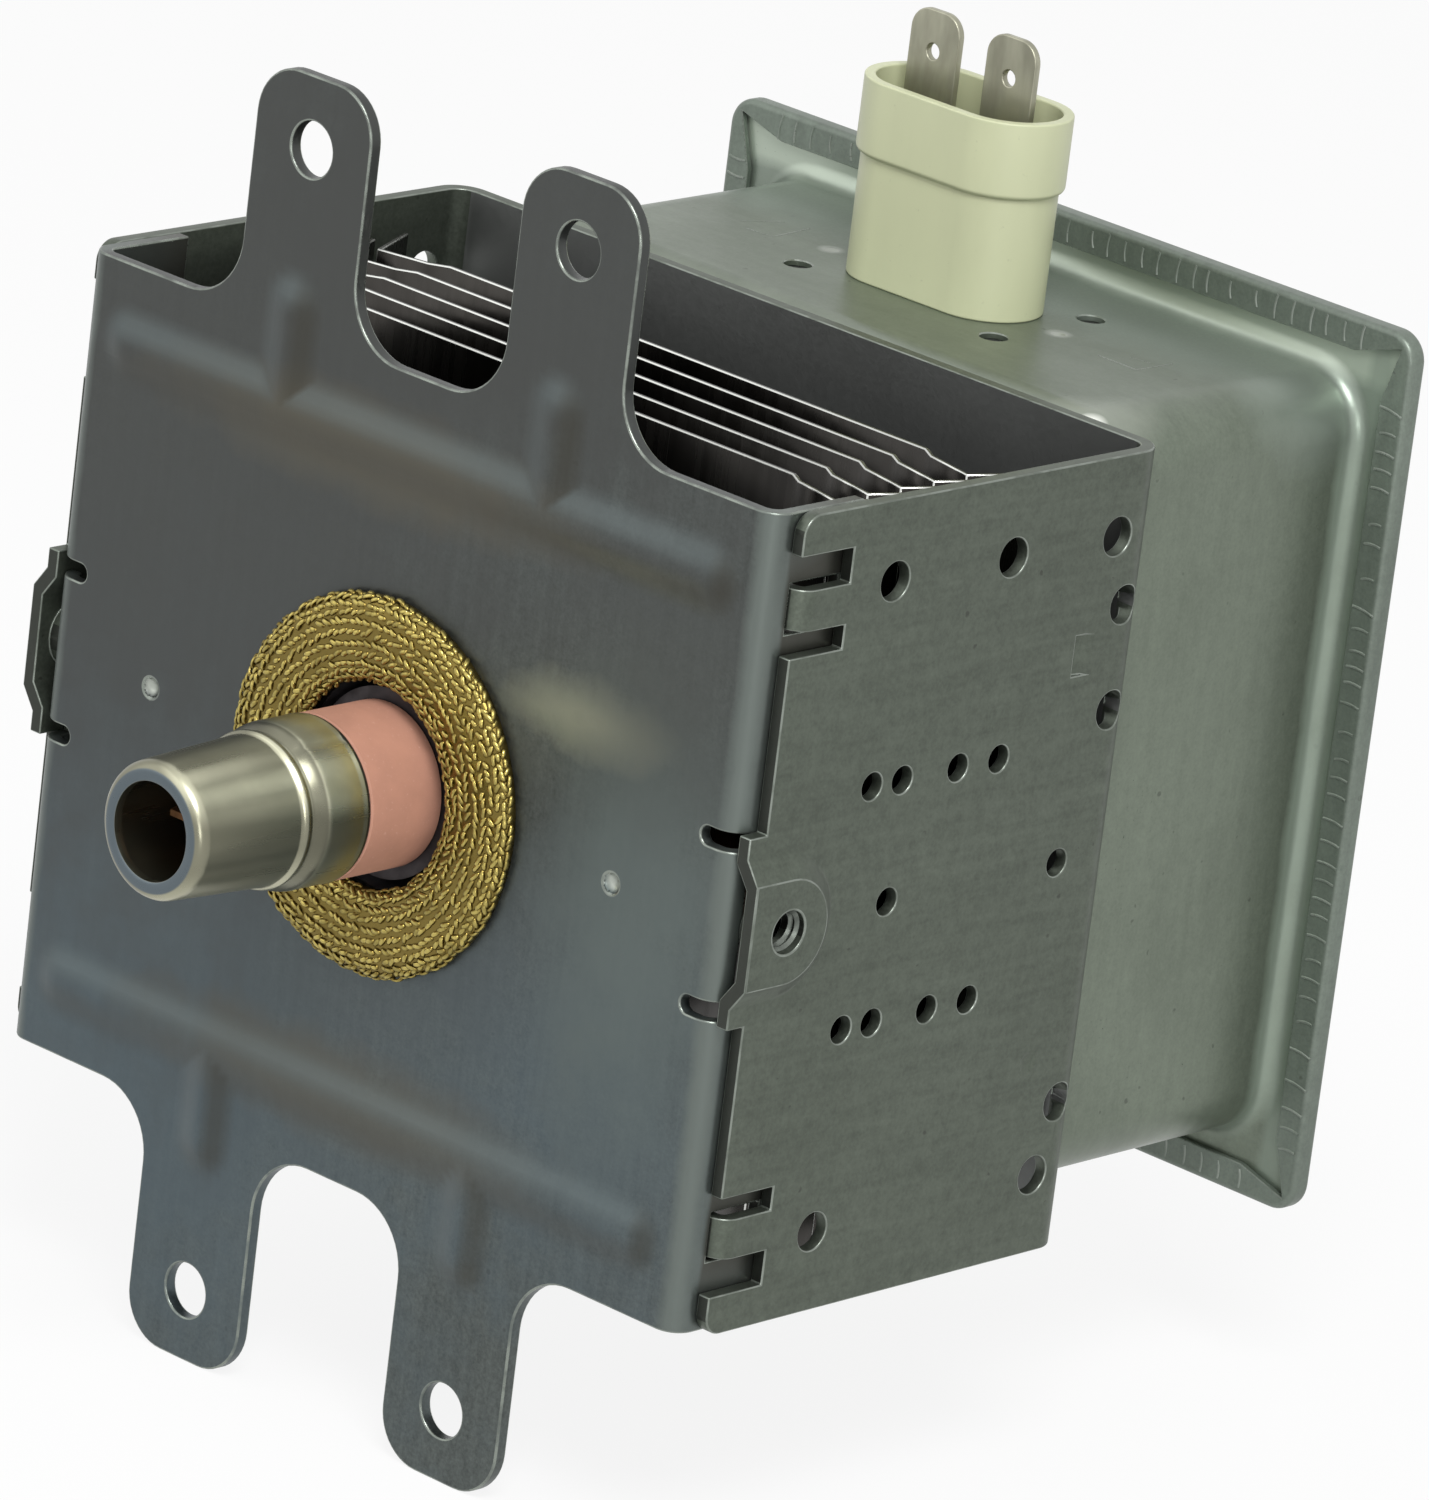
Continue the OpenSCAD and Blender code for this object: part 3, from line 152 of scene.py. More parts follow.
class GasketSettings(bpy.types.PropertyGroup):
    """Sizes and colours of the knitted gasket, with the painted shade between its stitches."""

    bore: length("Bore", "Inside diameter of the gasket", 19.6)
    rows: IntProperty(name="Rows", description="Rows of stitches between bore and rim", default=12, min=4)
    stitch: length("Stitch", "Spacing of the stitches along a row", 0.9)
    wire: length("Wire", "Diameter of the knitted wire", 0.5)
    lift: length("Lift", "Height of a stitch over the ring under it", 0.34)
    lean: angle("Lean", "Slant of a stitch against its row", 22.0)
    brass_color: tint("Brass", "Bright brass wire", (0.50, 0.405, 0.120))
    # Painted shade down between the stitches and on the ring under them.
    shade_color: tint("Brass, dull", "Tarnished brass between the stitches", (0.185, 0.135, 0.033))


class TubeSettings(bpy.types.PropertyGroup):
    """Colours of the vacuum tube, its output and its fins, with the painted light and shade on the cap and the fins.
    """

    ceramic_color: tint("Output ceramic", "Pink output ceramic", (0.50, 0.252, 0.178))
    grit_color: tint("Output ceramic, grit", "Pale grains in the output ceramic", (0.75, 0.52, 0.45))
    # Painted highlights along the cap's upper and lower sides.
    cap_color: tint("Antenna cap", "Plating of the antenna cap where it is bright", (0.78, 0.77, 0.57))
    # A painted dark reflection between the highlights.
    cap_dull: tint("Antenna cap, dull", "Plating of the antenna cap where it is dull", (0.23, 0.225, 0.165))
    # A painted bluish reflection on the cap's front face.
    face_color: tint("Cap's face", "Dull face of the cap's rim", (0.115, 0.140, 0.155))
    seal_color: tint("Seal", "Oxidised seal cup", (0.045, 0.038, 0.040))
    copper_color: tint("Copper", "Copper of the anode and the leads", (0.42, 0.21, 0.11))
    # Painted shade: the fins' faces are darkened far below bare aluminium.
    fin_color: tint("Fins", "Bare aluminium fins", (0.050, 0.047, 0.043))
    fin_edge: tint("Fin edges", "Bright sheared edges of the fins", (0.60, 0.61, 0.58))
    fin_round: length("Fin edge width", "Rounding of the fins' sheared edges", 0.12)
    magnet_color: tint("Magnets", "Sintered ferrite", (0.030, 0.030, 0.033))


class FilterSettings(bpy.types.PropertyGroup):
    """Sizes and colours of the connector and what hangs under it."""

    shell_color: tint("Connector", "Cream plastic of the connector", (0.58, 0.608, 0.395))
    shell_slim: length("Connector slimness", "How much slimmer than its solid the shell is, on each end", 0.9)
    collar_round: length("Collar", "Rounding under the connector's collar", 0.5)
    shell_round: length("Connector edges", "Rounding of the connector's moulded edges", 0.2)
    tab_color: tint("Tabs", "Tinned tabs", (0.42, 0.415, 0.32))
    tab_round: length("Tab edges", "Rounding of the tabs' edges", 0.14)
    choke_color: tint("Choke wire", "Enamelled copper wire", (0.30, 0.12, 0.05))


class StageSettings(bpy.types.PropertyGroup):
    """The studio and the camera."""

    azimuth: angle("Azimuth", "Camera's turn from the front", 41.641)
    elevation: angle("Elevation", "Camera's rise", 17.937)
    roll: angle("Roll", "Camera's roll", 7.066)
    distance: length("Distance", "Camera's distance", 1088.361)
    focal: number("Focal length", "Camera's focal length in picture points", 11639.24)
    origin_x: number("Origin across", "Picture point of the antenna's axis, across", 376.495)
    origin_y: number("Origin down", "Picture point of the antenna's axis, down", 784.039)
    floor_color: tint("Floor", "Pale studio floor", (0.86, 0.86, 0.86))
    floor_white: number("Floor whiteness", "Share of plain white in the floor as the camera sees it", 0.88)
    key_power: number("Key light", "Power of the light over the right", 13.0)
    fill_power: number("Fill light", "Power of the wide light at the left", 8.0)
    side_power: number("Side light", "Power of the low light at the right", 3.0)
    ambient: number("Ambient", "Strength of the light from all round", 0.45)


def put(tree, kind, inputs=None, **settings):
    """Adds a node, sets its options, and gives each named input a value or a link."""
    node = tree.nodes.new(kind)
    for name, value in settings.items():
        setattr(node, name, value)
    for key, value in (inputs or {}).items():
        if isinstance(value, bpy.types.NodeSocket):
            tree.links.new(value, node.inputs[key])
        else:
            node.inputs[key].default_value = value
    return node


def mixed(tree, amount, first, second, blend="MIX"):
    """The blend of two colours; each may be a socket or a colour."""
    colors = [c if isinstance(c, bpy.types.NodeSocket) else (*c, 1.0) for c in (first, second)]
    inputs = {0: amount, 6: colors[0], 7: colors[1]}
    node = put(tree, "ShaderNodeMix", inputs, data_type="RGBA", blend_type=blend, clamp_factor=True)
    return node.outputs[2]


def darker(color, share):
    """A colour with a share of its light."""
    return tuple(share * c for c in color)


def sums(tree, operation, first, second):
    """One sum of two values; each may be a socket or a number."""
    return put(tree, "ShaderNodeMath", {0: first, 1: second}, operation=operation).outputs[0]


def plus(tree, first, second):
    """The sum of two values."""
    return sums(tree, "ADD", first, second)


def minus(tree, first, second):
    """The first value less the second."""
    return sums(tree, "SUBTRACT", first, second)


def times(tree, first, second):
    """The product of two values."""
    return sums(tree, "MULTIPLY", first, second)


def spread(tree, value, low, high, to_low=0.0, to_high=1.0):
    """Maps a value's range smoothly onto another."""
    node = put(
        tree,
        "ShaderNodeMapRange",
        {"Value": value, "From Min": low, "From Max": high, "To Min": to_low, "To Max": to_high},
        interpolation_type="SMOOTHSTEP",
    )
    return node.outputs["Result"]


def mottled(tree, pattern, low, high, color, share):
    """A colour that goes over into a darker tone of its own where a pattern is high."""
    return mixed(tree, spread(tree, pattern, low, high), color, darker(color, share))


def cloud(tree, coords, scale, detail=2.0, roughness=0.55):
    """Plain noise at a scale in features per metre."""
    node = put(
        tree, "ShaderNodeTexNoise", {"Vector": coords, "Scale": scale, "Detail": detail, "Roughness": roughness}
    )
    return node.outputs["Fac"]


def stretched(tree, coords, scale):
    """Coordinates that are squeezed along each axis."""
    return put(tree, "ShaderNodeMapping", {"Vector": coords, "Scale": scale}).outputs["Vector"]


def new_group(name, inputs, outputs):
    """An empty shader node group with named sockets."""
    group = bpy.data.node_groups.new(name, "ShaderNodeTree")
    for way, sockets in (("INPUT", inputs), ("OUTPUT", outputs)):
        for socket, kind in sockets.items():
            group.interface.new_socket(socket, in_out=way, socket_type=kind)
    source = group.nodes.new("NodeGroupInput")
    target = group.nodes.new("NodeGroupOutput")
    return group, source.outputs, target.inputs


VECTOR = "NodeSocketVector"
COLOR = "NodeSocketColor"
VALUE = "NodeSocketFloat"


def zinc_plating():
    """Dull zinc plating: fine speckle, broad clouds, rolling lines and a few dark specks."""
    group, given, out = new_group(
        "zinc_plating",
        {
            "Coordinates": VECTOR,
            "Rolling": VECTOR,
            "Color": COLOR,
            "Cloud Color": COLOR,
            "Speckle": VALUE,
            "Roughness": VALUE,
        },
        {"Color": COLOR, "Roughness": VALUE, "Height": VALUE},
    )
    coords = given["Coordinates"]
    grain = cloud(group, coords, 2600.0, 3.0, 0.7)
    coarse = cloud(group, coords, 760.0, 2.0, 0.6)
    broad = cloud(group, coords, 55.0, 3.0, 0.5)
    lines = cloud(group, given["Rolling"], 900.0, 2.0, 0.6)
    specks = put(group, "ShaderNodeTexVoronoi", {"Vector": coords, "Scale": 420.0, "Randomness": 1.0})
    color = mixed(group, spread(group, broad, 0.35, 0.68), given["Color"], given["Cloud Color"])
    shade = plus(group, times(group, grain, 0.65), times(group, coarse, 0.35))
    shade = plus(group, times(group, shade, 0.75), times(group, lines, 0.25))
    swing = times(group, minus(group, shade, 0.5), given["Speckle"])
    level = plus(group, times(group, swing, 3.2), 1.0)
    gray = put(group, "ShaderNodeCombineColor", {0: level, 1: level, 2: level}).outputs[0]
    color = mixed(group, 1.0, color, gray, "MULTIPLY")
    dot = spread(group, specks.outputs["Distance"], 0.16, 0.09)
    spot = times(group, dot, spread(group, coarse, 0.56, 0.64))
    color = mixed(group, times(group, spot, 0.55), color, (0.035, 0.035, 0.03))
    group.links.new(color, out["Color"])
    rough = plus(group, given["Roughness"], times(group, minus(group, broad, 0.5), 0.22))
    rough = plus(group, rough, times(group, minus(group, grain, 0.5), 0.25))
    group.links.new(rough, out["Roughness"])
    height = plus(group, times(group, grain, 0.7), times(group, lines, 0.5))
    group.links.new(height, out["Height"])
    return group


def soft_patch():
    """A soft round patch with a ragged rim, as a mask from 0 to 1."""
    group, given, out = new_group(
        "soft_patch",
        {
            "Coordinates": VECTOR,
            "Ragged": VALUE,
            "Centre": VECTOR,
            "Stretch": VECTOR,
            "Radius": VALUE,
            "Fade": VALUE,
        },
        {"Mask": VALUE},
    )
    away = put(group, "ShaderNodeVectorMath", {0: given["Coordinates"], 1: given["Centre"]}, operation="SUBTRACT")
    away = put(group, "ShaderNodeVectorMath", {0: away.outputs[0], 1: given["Stretch"]}, operation="MULTIPLY")
    reach = put(group, "ShaderNodeVectorMath", {0: away.outputs[0]}, operation="LENGTH").outputs["Value"]
    ragged = times(group, minus(group, given["Ragged"], 0.5), given["Fade"])
    reach = plus(group, reach, ragged)
    inside = minus(group, reach, given["Radius"])
    mask = minus(group, 1.0, sums(group, "DIVIDE", inside, given["Fade"]))
    soft = put(group, "ShaderNodeClamp", {"Value": mask}).outputs[0]
    group.links.new(soft, out["Mask"])
    return group


def edge_wear_and_highlight():
    """Brightens edges as rubbed bare metal and as a painted highlight, broken up by noise."""
    group, given, out = new_group(
        "edge_wear_and_highlight",
        {"Coordinates": VECTOR, "Edge": VALUE, "Color": COLOR, "Bare Color": COLOR, "Roughness": VALUE},
        {"Color": COLOR, "Roughness": VALUE},
    )
    broken = spread(group, cloud(group, given["Coordinates"], 420.0, 3.0), 0.32, 0.62, 0.35, 1.0)
    amount = times(group, given["Edge"], broken)
    group.links.new(mixed(group, amount, given["Color"], given["Bare Color"]), out["Color"])
    smoother = minus(group, given["Roughness"], times(group, amount, 0.12))
    group.links.new(smoother, out["Roughness"])
    return group


def placed(tree, build, inputs):
    """Puts a shared node group, built at its first use, into a material with its own values."""
    group = bpy.data.node_groups.get(build.__name__) or build()
    return put(tree, "ShaderNodeGroup", inputs, node_tree=group).outputs


def masked(tree, attribute):
    """The mask that a mesh carries in an attribute."""
    return put(tree, "ShaderNodeAttribute", attribute_name=attribute).outputs["Fac"]


def paint(tree, shader, color, roughness):
    """Gives the shader its colour and its roughness."""
    tree.links.new(color, shader.inputs["Base Color"])
    tree.links.new(roughness, shader.inputs["Roughness"])


def new_material(name, metallic=0.0, specular=0.5):
    """A material with one Principled shader; returns it with its tree, shader and object coordinates."""
    material = bpy.data.materials.new(name)
    material.use_nodes = True
    tree = material.node_tree
    shader = tree.nodes["Principled BSDF"]
    shader.inputs["Metallic"].default_value = metallic
    shader.inputs["Specular IOR Level"].default_value = specular
    coords = tree.nodes.new("ShaderNodeTexCoord").outputs["Object"]
    return material, tree, shader, coords


def dent(tree, shader, height, strength, distance):
    """Feeds a height through a bump into the shader's normal."""
    bump = put(tree, "ShaderNodeBump", {"Height": height, "Strength": strength, "Distance": distance})
    tree.links.new(bump.outputs["Normal"], shader.inputs["Normal"])


def patch(color, share, centre, stretch, radius, fade):
    """A soft patch of another tone, with its lengths in millimetres; a stretch of 0 makes it endless along an axis."""
    place = tuple(MM * along for along in centre)
    return tuple(color), share, {"Centre": place, "Stretch": stretch, "Radius": MM * radius, "Fade": MM * fade}


def plated_steel(sheet, name, color, clouds, roughness, speckle, rolling, patches=(), marks=None, metallic=0.82):
    """Zinc-plated sheet with soft patches and rubbed edges; patches, marks and edges may also paint light or shade.

    The clouds have a share of the colour's light, and the marks give a colour to each attribute's mask.
    """
    material, tree, shader, coords = new_material(name, metallic)
    plating = placed(
        tree,
        zinc_plating,
        {
            "Coordinates": coords,
            "Rolling": stretched(tree, coords, rolling),
            "Color": (*color, 1.0),
            "Cloud Color": (*darker(color, clouds), 1.0),
            "Speckle": speckle,
            "Roughness": roughness,
        },
    )
    tone = plating["Color"]
    ragged = cloud(tree, coords, 160.0, 4.0) if patches else 0.5
    for patch_color, share, sizes in patches:
        mask = placed(tree, soft_patch, {"Coordinates": coords, "Ragged": ragged, **sizes})["Mask"]
        tone = mixed(tree, times(tree, mask, share), tone, patch_color)
    for attribute, mark_color in (marks or {}).items():
        tone = mixed(tree, masked(tree, attribute), tone, tuple(mark_color))
    worn = placed(
        tree,
        edge_wear_and_highlight,
        {
            "Coordinates": coords,
            "Edge": masked(tree, "edge"),
            "Color": tone,
            "Bare Color": (*sheet.edge_color, 1.0),
            "Roughness": plating["Roughness"],
        },
    )
    paint(tree, shader, worn["Color"], worn["Roughness"])
    dent(tree, shader, plating["Height"], 0.18, 0.04 * MM)
    return material


def clouded(name, color, second, scale, roughness, metallic=0.0, bump=0.0, stretch=None):
    """A plain finish whose colour and gloss wander; the second tone may be a share of the first one's light."""
    if isinstance(second, float):
        second = darker(color, second)
    material, tree, shader, coords = new_material(name, metallic)
    where = coords if stretch is None else stretched(tree, coords, stretch)
    tone = cloud(tree, where, scale, 3.0)
    shade = mixed(tree, spread(tree, tone, 0.3, 0.7), color, second)
    paint(tree, shader, shade, spread(tree, tone, 0.2, 0.8, roughness - 0.07, roughness + 0.07))
    if bump:
        dent(tree, shader, cloud(tree, where, scale * 6.0), bump, 0.03 * MM)
    return material


def dress(material, *names):
    """Gives carried-over solids their finish."""
    for name in names:
        slots = frame["nodes"][name].data.materials
        slots.clear()
        slots.append(material)


def split(bm, faces, axis, place):
    """Cuts faces along a plane across an axis and returns the new edges."""
    faces = list(faces)
    normal = Vector((axis == "X", axis == "Y", axis == "Z"))
    geom = list({v for f in faces for v in f.verts}) + list({e for f in faces for e in f.edges}) + faces
    cut = bmesh.ops.bisect_plane(bm, geom=geom, dist=HAIR, plane_co=normal * place, plane_no=normal)
    return [item for item in cut["geom_cut"] if isinstance(item, bmesh.types.BMEdge)]


def merged_copy(node_name, cuts, level=None):
    """A bmesh of a solid with its loose triangles joined and its flats made whole.

    Each cut is an axis and its places in millimetres; a flat is split there and so never closes up round a hole.
    The level moves the vertices before the flats are made whole.
    """
    bm = bmesh.new()
    bm.from_mesh(frame["nodes"][node_name].data)
    bmesh.ops.remove_doubles(bm, verts=bm.verts, dist=SAME)
    if level:
        for vert in bm.verts:
            level(vert)
    for axis, places in cuts.items():
        for place in places:
            for edge in split(bm, bm.faces, axis, place * MM):
                edge.seam = True
    bmesh.ops.dissolve_limit(bm, angle_limit=FLAT, verts=bm.verts, edges=bm.edges, delimit={"SEAM"})
    for edge in bm.edges:
        edge.seam = False
    return bm


def add_copy(bm, shape, matrix):
    """Adds a moved copy of a small bmesh to another."""
    copied = bpy.data.meshes.new("copied_shape")
    one = shape.copy()
    one.transform(matrix)
    one.to_mesh(copied)
    one.free()
    bm.from_mesh(copied)
    bpy.data.meshes.remove(copied)


def turned(bm, outline, steps):
    """Turns a closed outline of (radius, y) places about the Y axis."""
    verts = [bm.verts.new((radius, y, 0.0)) for radius, y in outline]
    edges = [bm.edges.new(pair) for pair in zip(verts, verts[1:] + verts[:1])]
    full = 2.0 * math.pi
    bmesh.ops.spin(bm, geom=verts + edges, cent=(0, 0, 0), axis=(0, 1, 0), angle=full, steps=steps, use_merge=True)
    bmesh.ops.recalc_face_normals(bm, faces=bm.faces)


def soften(bm, width, sharpness=50.0, segments=2, chosen=None, rubbed=1.0):
    """Rounds the edges over a sharpness in degrees and marks the new faces, by a share, as rubbed bare edges that also
    carry a painted highlight.
    """
    mark = bm.faces.layers.float.get("edge") or bm.faces.layers.float.new("edge")
    least = math.radians(sharpness)
    sharp = [e for e in bm.edges if len(e.link_faces) == 2 and e.calc_face_angle(0.0) > least]
    sharp = [e for e in sharp if chosen is None or chosen(e)]
    made = bmesh.ops.bevel(
        bm,
        geom=sharp,
        offset=width,
        offset_type="OFFSET",
        segments=segments,
        profile=0.5,
        affect="EDGES",
        clamp_overlap=False,
        material=-1,
    )
    for face in made["faces"]:
        face[mark] = rubbed


def rub(bm, share):
    """Marks every face as rubbed, by a share."""
    mark = bm.faces.layers.float.new("edge")
    for face in bm.faces:
        face[mark] = share


def make_piece(bm, name, material, stands_for=(), crease=38.0):
    """Turns a bmesh into a piece of the object that rides with the part."""
    mesh = bpy.data.meshes.new(name)
    bm.to_mesh(mesh)
    bm.free()
    mesh.shade_smooth()
    mesh.set_sharp_from_angle(angle=math.radians(crease))
    mesh.materials.append(material)
    piece = bpy.data.objects.new(name, mesh)
    bpy.context.scene.collection.objects.link(piece)
    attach(piece, "root")
    if stands_for:
        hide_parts(*stands_for)
    return piece


def flat_normals(piece):
    """Lets the large flats rule the shading beside their rounded edges."""
    weigh = piece.modifiers.new("flats", "WEIGHTED_NORMAL")
    weigh.mode = "FACE_AREA"
    weigh.weight = 80
    weigh.keep_sharp = True


class MAGNETRON_OT_mounting_plate(bpy.types.Operator):
    """Give the mounting plate soft ribs, rounded edges and its plating, with painted light and shade"""

    bl_idname = "magnetron.mounting_plate"
    bl_label = "Mounting plate"

    def rib_height(self, sheet, x, z):
        """Share of the ribs' full height at a place of the plate."""
        row = abs(z) - sheet.rib_z
        past_end = max(abs(x) - sheet.rib_half, 0.0)
        away = math.hypot(row, past_end)
        across = abs(x) - sheet.branch_x
        up = max(sheet.rib_z - abs(z), abs(z) - sheet.branch_end, 0.0)
        nearest = min(away, math.hypot(across, up))
        return math.cos(0.5 * math.pi * min(nearest / sheet.rib_soft, 1.0)) ** 2

    def burnish(self, bm, sheet):
        """Marks the ribs' upper and left slopes with painted light, and their other slopes and the hidden flanges with
        painted shade.
        """
        rib_light = bm.verts.layers.float.new("rib_light")
        shaded = bm.verts.layers.float.new("shaded")
        step = 0.05 * MM
        front = 0.5 * MM
        flange = sheet.fold + 0.1 * MM
        steepest = 0.5 * math.pi / sheet.rib_soft
        for vert in bm.verts:
            x, y, z = vert.co
            if y < front and abs(x) < PLATE[1].x - sheet.fold:
                here = self.rib_height(sheet, x, z)
                to_right = (here - self.rib_height(sheet, x + step, z)) / step / steepest
                upward = (here - self.rib_height(sheet, x, z + step)) / step / steepest
                vert[rib_light] = 0.5 * max(upward, 0.0) + 0.3 * max(-to_right, 0.0)
                vert[shaded] = 0.6 * max(to_right, 0.0) + 0.3 * max(-upward, 0.0)
            elif y > flange:
                vert[shaded] = 0.8

    def execute(self, context):
        sheet = context.scene.magnetron_sheet
        flat_x = PLATE[1].x - sheet.fold
        margin = 0.3 * MM
        foot = sheet.rib_soft + margin
        inner = sheet.rib_z - foot
        outer = sheet.rib_z + foot
        top = sheet.branch_end + foot

        def level(vert):
            """Presses the ribs flat."""
            if abs(vert.co.x) < flat_x and inner < abs(vert.co.z) < top:
                if vert.co.y < NEAR:
                    vert.co.y = 0.0
                elif vert.co.y < sheet.sheet + NEAR:
                    vert.co.y = sheet.sheet

        bm = merged_copy("mounting_plate", {"X": (-30.8, -17.5, 0.0, 17.5, 30.8), "Z": (-30.5, 0.0, 30.5)}, level)

        def flats(low, high, beside=1.0):
            """The plate's flat faces between two heights, and not further than this beside a branch."""
            found = []
            for face in bm.faces:
                spot = face.calc_center_median()
                by_branch = abs(abs(spot.x) - sheet.branch_x) < beside
                if abs(face.normal.y) > FRONTAL and low < abs(spot.z) < high and by_branch:
                    found.append(face)
            return found

        for side in (-1.0, 1.0):
            for height in (inner, outer, top):
                split(bm, flats(0.0, 1.0), "Z", side * height)
        steps = 2 * round(flat_x / sheet.rib_column)
        across = [flat_x * (2.0 * k / steps - 1.0) for k in range(1, steps)]
        for edge in (sheet.branch_x - foot, sheet.branch_x + foot):
            across += [-edge, edge]
        for place in across:
            by_branch = abs(abs(place) - sheet.branch_x) < foot + NEAR
            split(bm, flats(inner, top if by_branch else outer), "X", place)
        rows = round((outer - inner) / sheet.rib_row)
        for side in (-1.0, 1.0):
            for k in range(1, rows):
                split(bm, flats(inner, outer), "Z", side * (inner + (outer - inner) * k / rows))
                split(bm, flats(outer, top, foot), "Z", side * (outer + (top - outer) * k / rows))
        for vert in bm.verts:
            if abs(vert.co.x) < flat_x + NEAR and inner - NEAR < abs(vert.co.z) < top + NEAR:
                if abs(vert.co.y) < NEAR or abs(vert.co.y - sheet.sheet) < NEAR:
                    vert.co.y -= sheet.rib_rise * self.rib_height(sheet, vert.co.x, vert.co.z)
        soften(bm, sheet.edge_round)
        self.burnish(bm, sheet)
        flat = (1.0, 0.0, 1.0)
        band = (0.3, 0.0, 1.6)
        # The bluish patches paint a reflection on the plate's lower parts, the darker ones paint shade on its upper
        # parts, and the right-hand one paints light on its right side.
        patches = [
            patch(sheet.plate_blue, 0.75, (-30.0, 0.0, -30.0), flat, 14.0, 45.0),
            patch(sheet.plate_blue, 0.55, (30.0, 0.0, -22.0), flat, 8.0, 22.0),
            patch(sheet.plate_dark, 0.85, (-30.0, 0.0, 30.0), (0.8, 0.0, 0.8), 22.0, 40.0),
            patch(sheet.plate_dark, 0.8, (10.0, 0.0, 56.0), (0.6, 0.0, 1.0), 14.0, 12.0),
            patch(sheet.plate_right, 0.8, (34.0, 0.0, 0.0), (1.0, 0.0, 0.5), 4.0, 12.0),
            patch(sheet.plate_warm, 0.75, (-5.0, 0.0, 31.0), band, 4.0, 6.0),
            patch(sheet.plate_warm, 0.6, (0.0, 0.0, -31.0), band, 4.0, 6.0),
            patch(sheet.plate_pale, 0.95, (25.5, 0.0, 14.3), (0.6, 0.0, 1.6), 1.4, 6.0),
            patch(sheet.plate_dark, 0.6, (36.0, 0.0, 26.0), (1.0, 0.0, 0.8), 6.0, 12.0),
        ]
        fold = (PLATE[1].x - 0.35 * sheet.fold) / MM
        for side in (-1.0, 1.0):
            # A painted glint in each dimple.
            patches.append(patch(sheet.dimple_color, 0.85, (side * 30.9, 0.0, 0.2), flat, 0.6, 0.5))
            # A painted highlight strip along each fold.
            patches.append(patch(sheet.plate_fold, 0.9, (side * fold, 0.0, 0.0), (1.0, 0.0, 0.0), 0.5, 1.2))
        # Painted light on the ribs' upper and left slopes; painted shade on their lower and right slopes and on the
        # hidden flanges.
        marks = {"rib_light": sheet.slope_color, "shaded": sheet.dull_color}
        rolling = (1.0, 1.0, 0.05)
        material = plated_steel(sheet, "plate_plating_and_painted_light", sheet.plate_color, 0.9, 0.40, 0.8, rolling, patches, marks)
        flat_normals(make_piece(bm, "plate_sheet", material, ["mounting_plate"]))
        return {"FINISHED"}


class MAGNETRON_OT_yoke(bpy.types.Operator):
    """Give the yoke rounded edges and its plating, with painted light and shade"""

    bl_idname = "magnetron.yoke"
    bl_label = "Yoke"

    def execute(self, context):
        sheet = context.scene.magnetron_sheet
        holes = (5.4, 16.0, 20.3, 27.9, 31.9, 33.5, 43.7, 46.3, 48.6)
        bm = merged_copy("yoke_frame", {"X": (0.0,), "Y": holes, "Z": (-30.5, 0.0, 30.5)})

        def on_boss(edge):
            """True for an edge of the faces that stand out furthest at the sides."""
            return all(abs(vert.co.x) > YOKE[1].x - NEAR for vert in edge.verts)

        soften(bm, sheet.yoke_round)
        # The bosses' rims are marked as edge, which paints a bright highlight line round them.
        soften(bm, sheet.boss_round, 12.0, chosen=on_boss)
        cut = bm.faces.layers.float.new("cut")
        inner = bm.faces.layers.float.new("inner")
        front = 12.0 * MM
        rear_edge = YOKE[1].y - 1.6 * MM
        rear_wall = YOKE[1].y - 2.0 * MM
        top = YOKE[1].z - 0.2 * MM
        # The front edges get the bare cut tone with painted shade, the rear wall's top edge gets painted shade, and
        # the inside of the rear wall gets painted light.
        for face in bm.faces:
            spot = face.calc_center_median()
            if face.normal.y < -FACING and spot.y < front:
                face[cut] = 0.85
            elif face.normal.z > FACING and spot.y > rear_edge and spot.z > top:
                face[cut] = 0.7
            elif face.normal.y < -FACING and spot.y > rear_wall:
                face[inner] = 1.0
        marks = {"cut": sheet.cut_color, "inner": sheet.inner_color}
        rolling = (1.0, 0.06, 1.0)
        material = plated_steel(sheet, "yoke_plating_and_painted_light", sheet.yoke_color, 0.97, 0.46, 0.5, rolling, marks=marks)
        flat_normals(make_piece(bm, "yoke_sheet", material, ["yoke_frame"]))
        return {"FINISHED"}


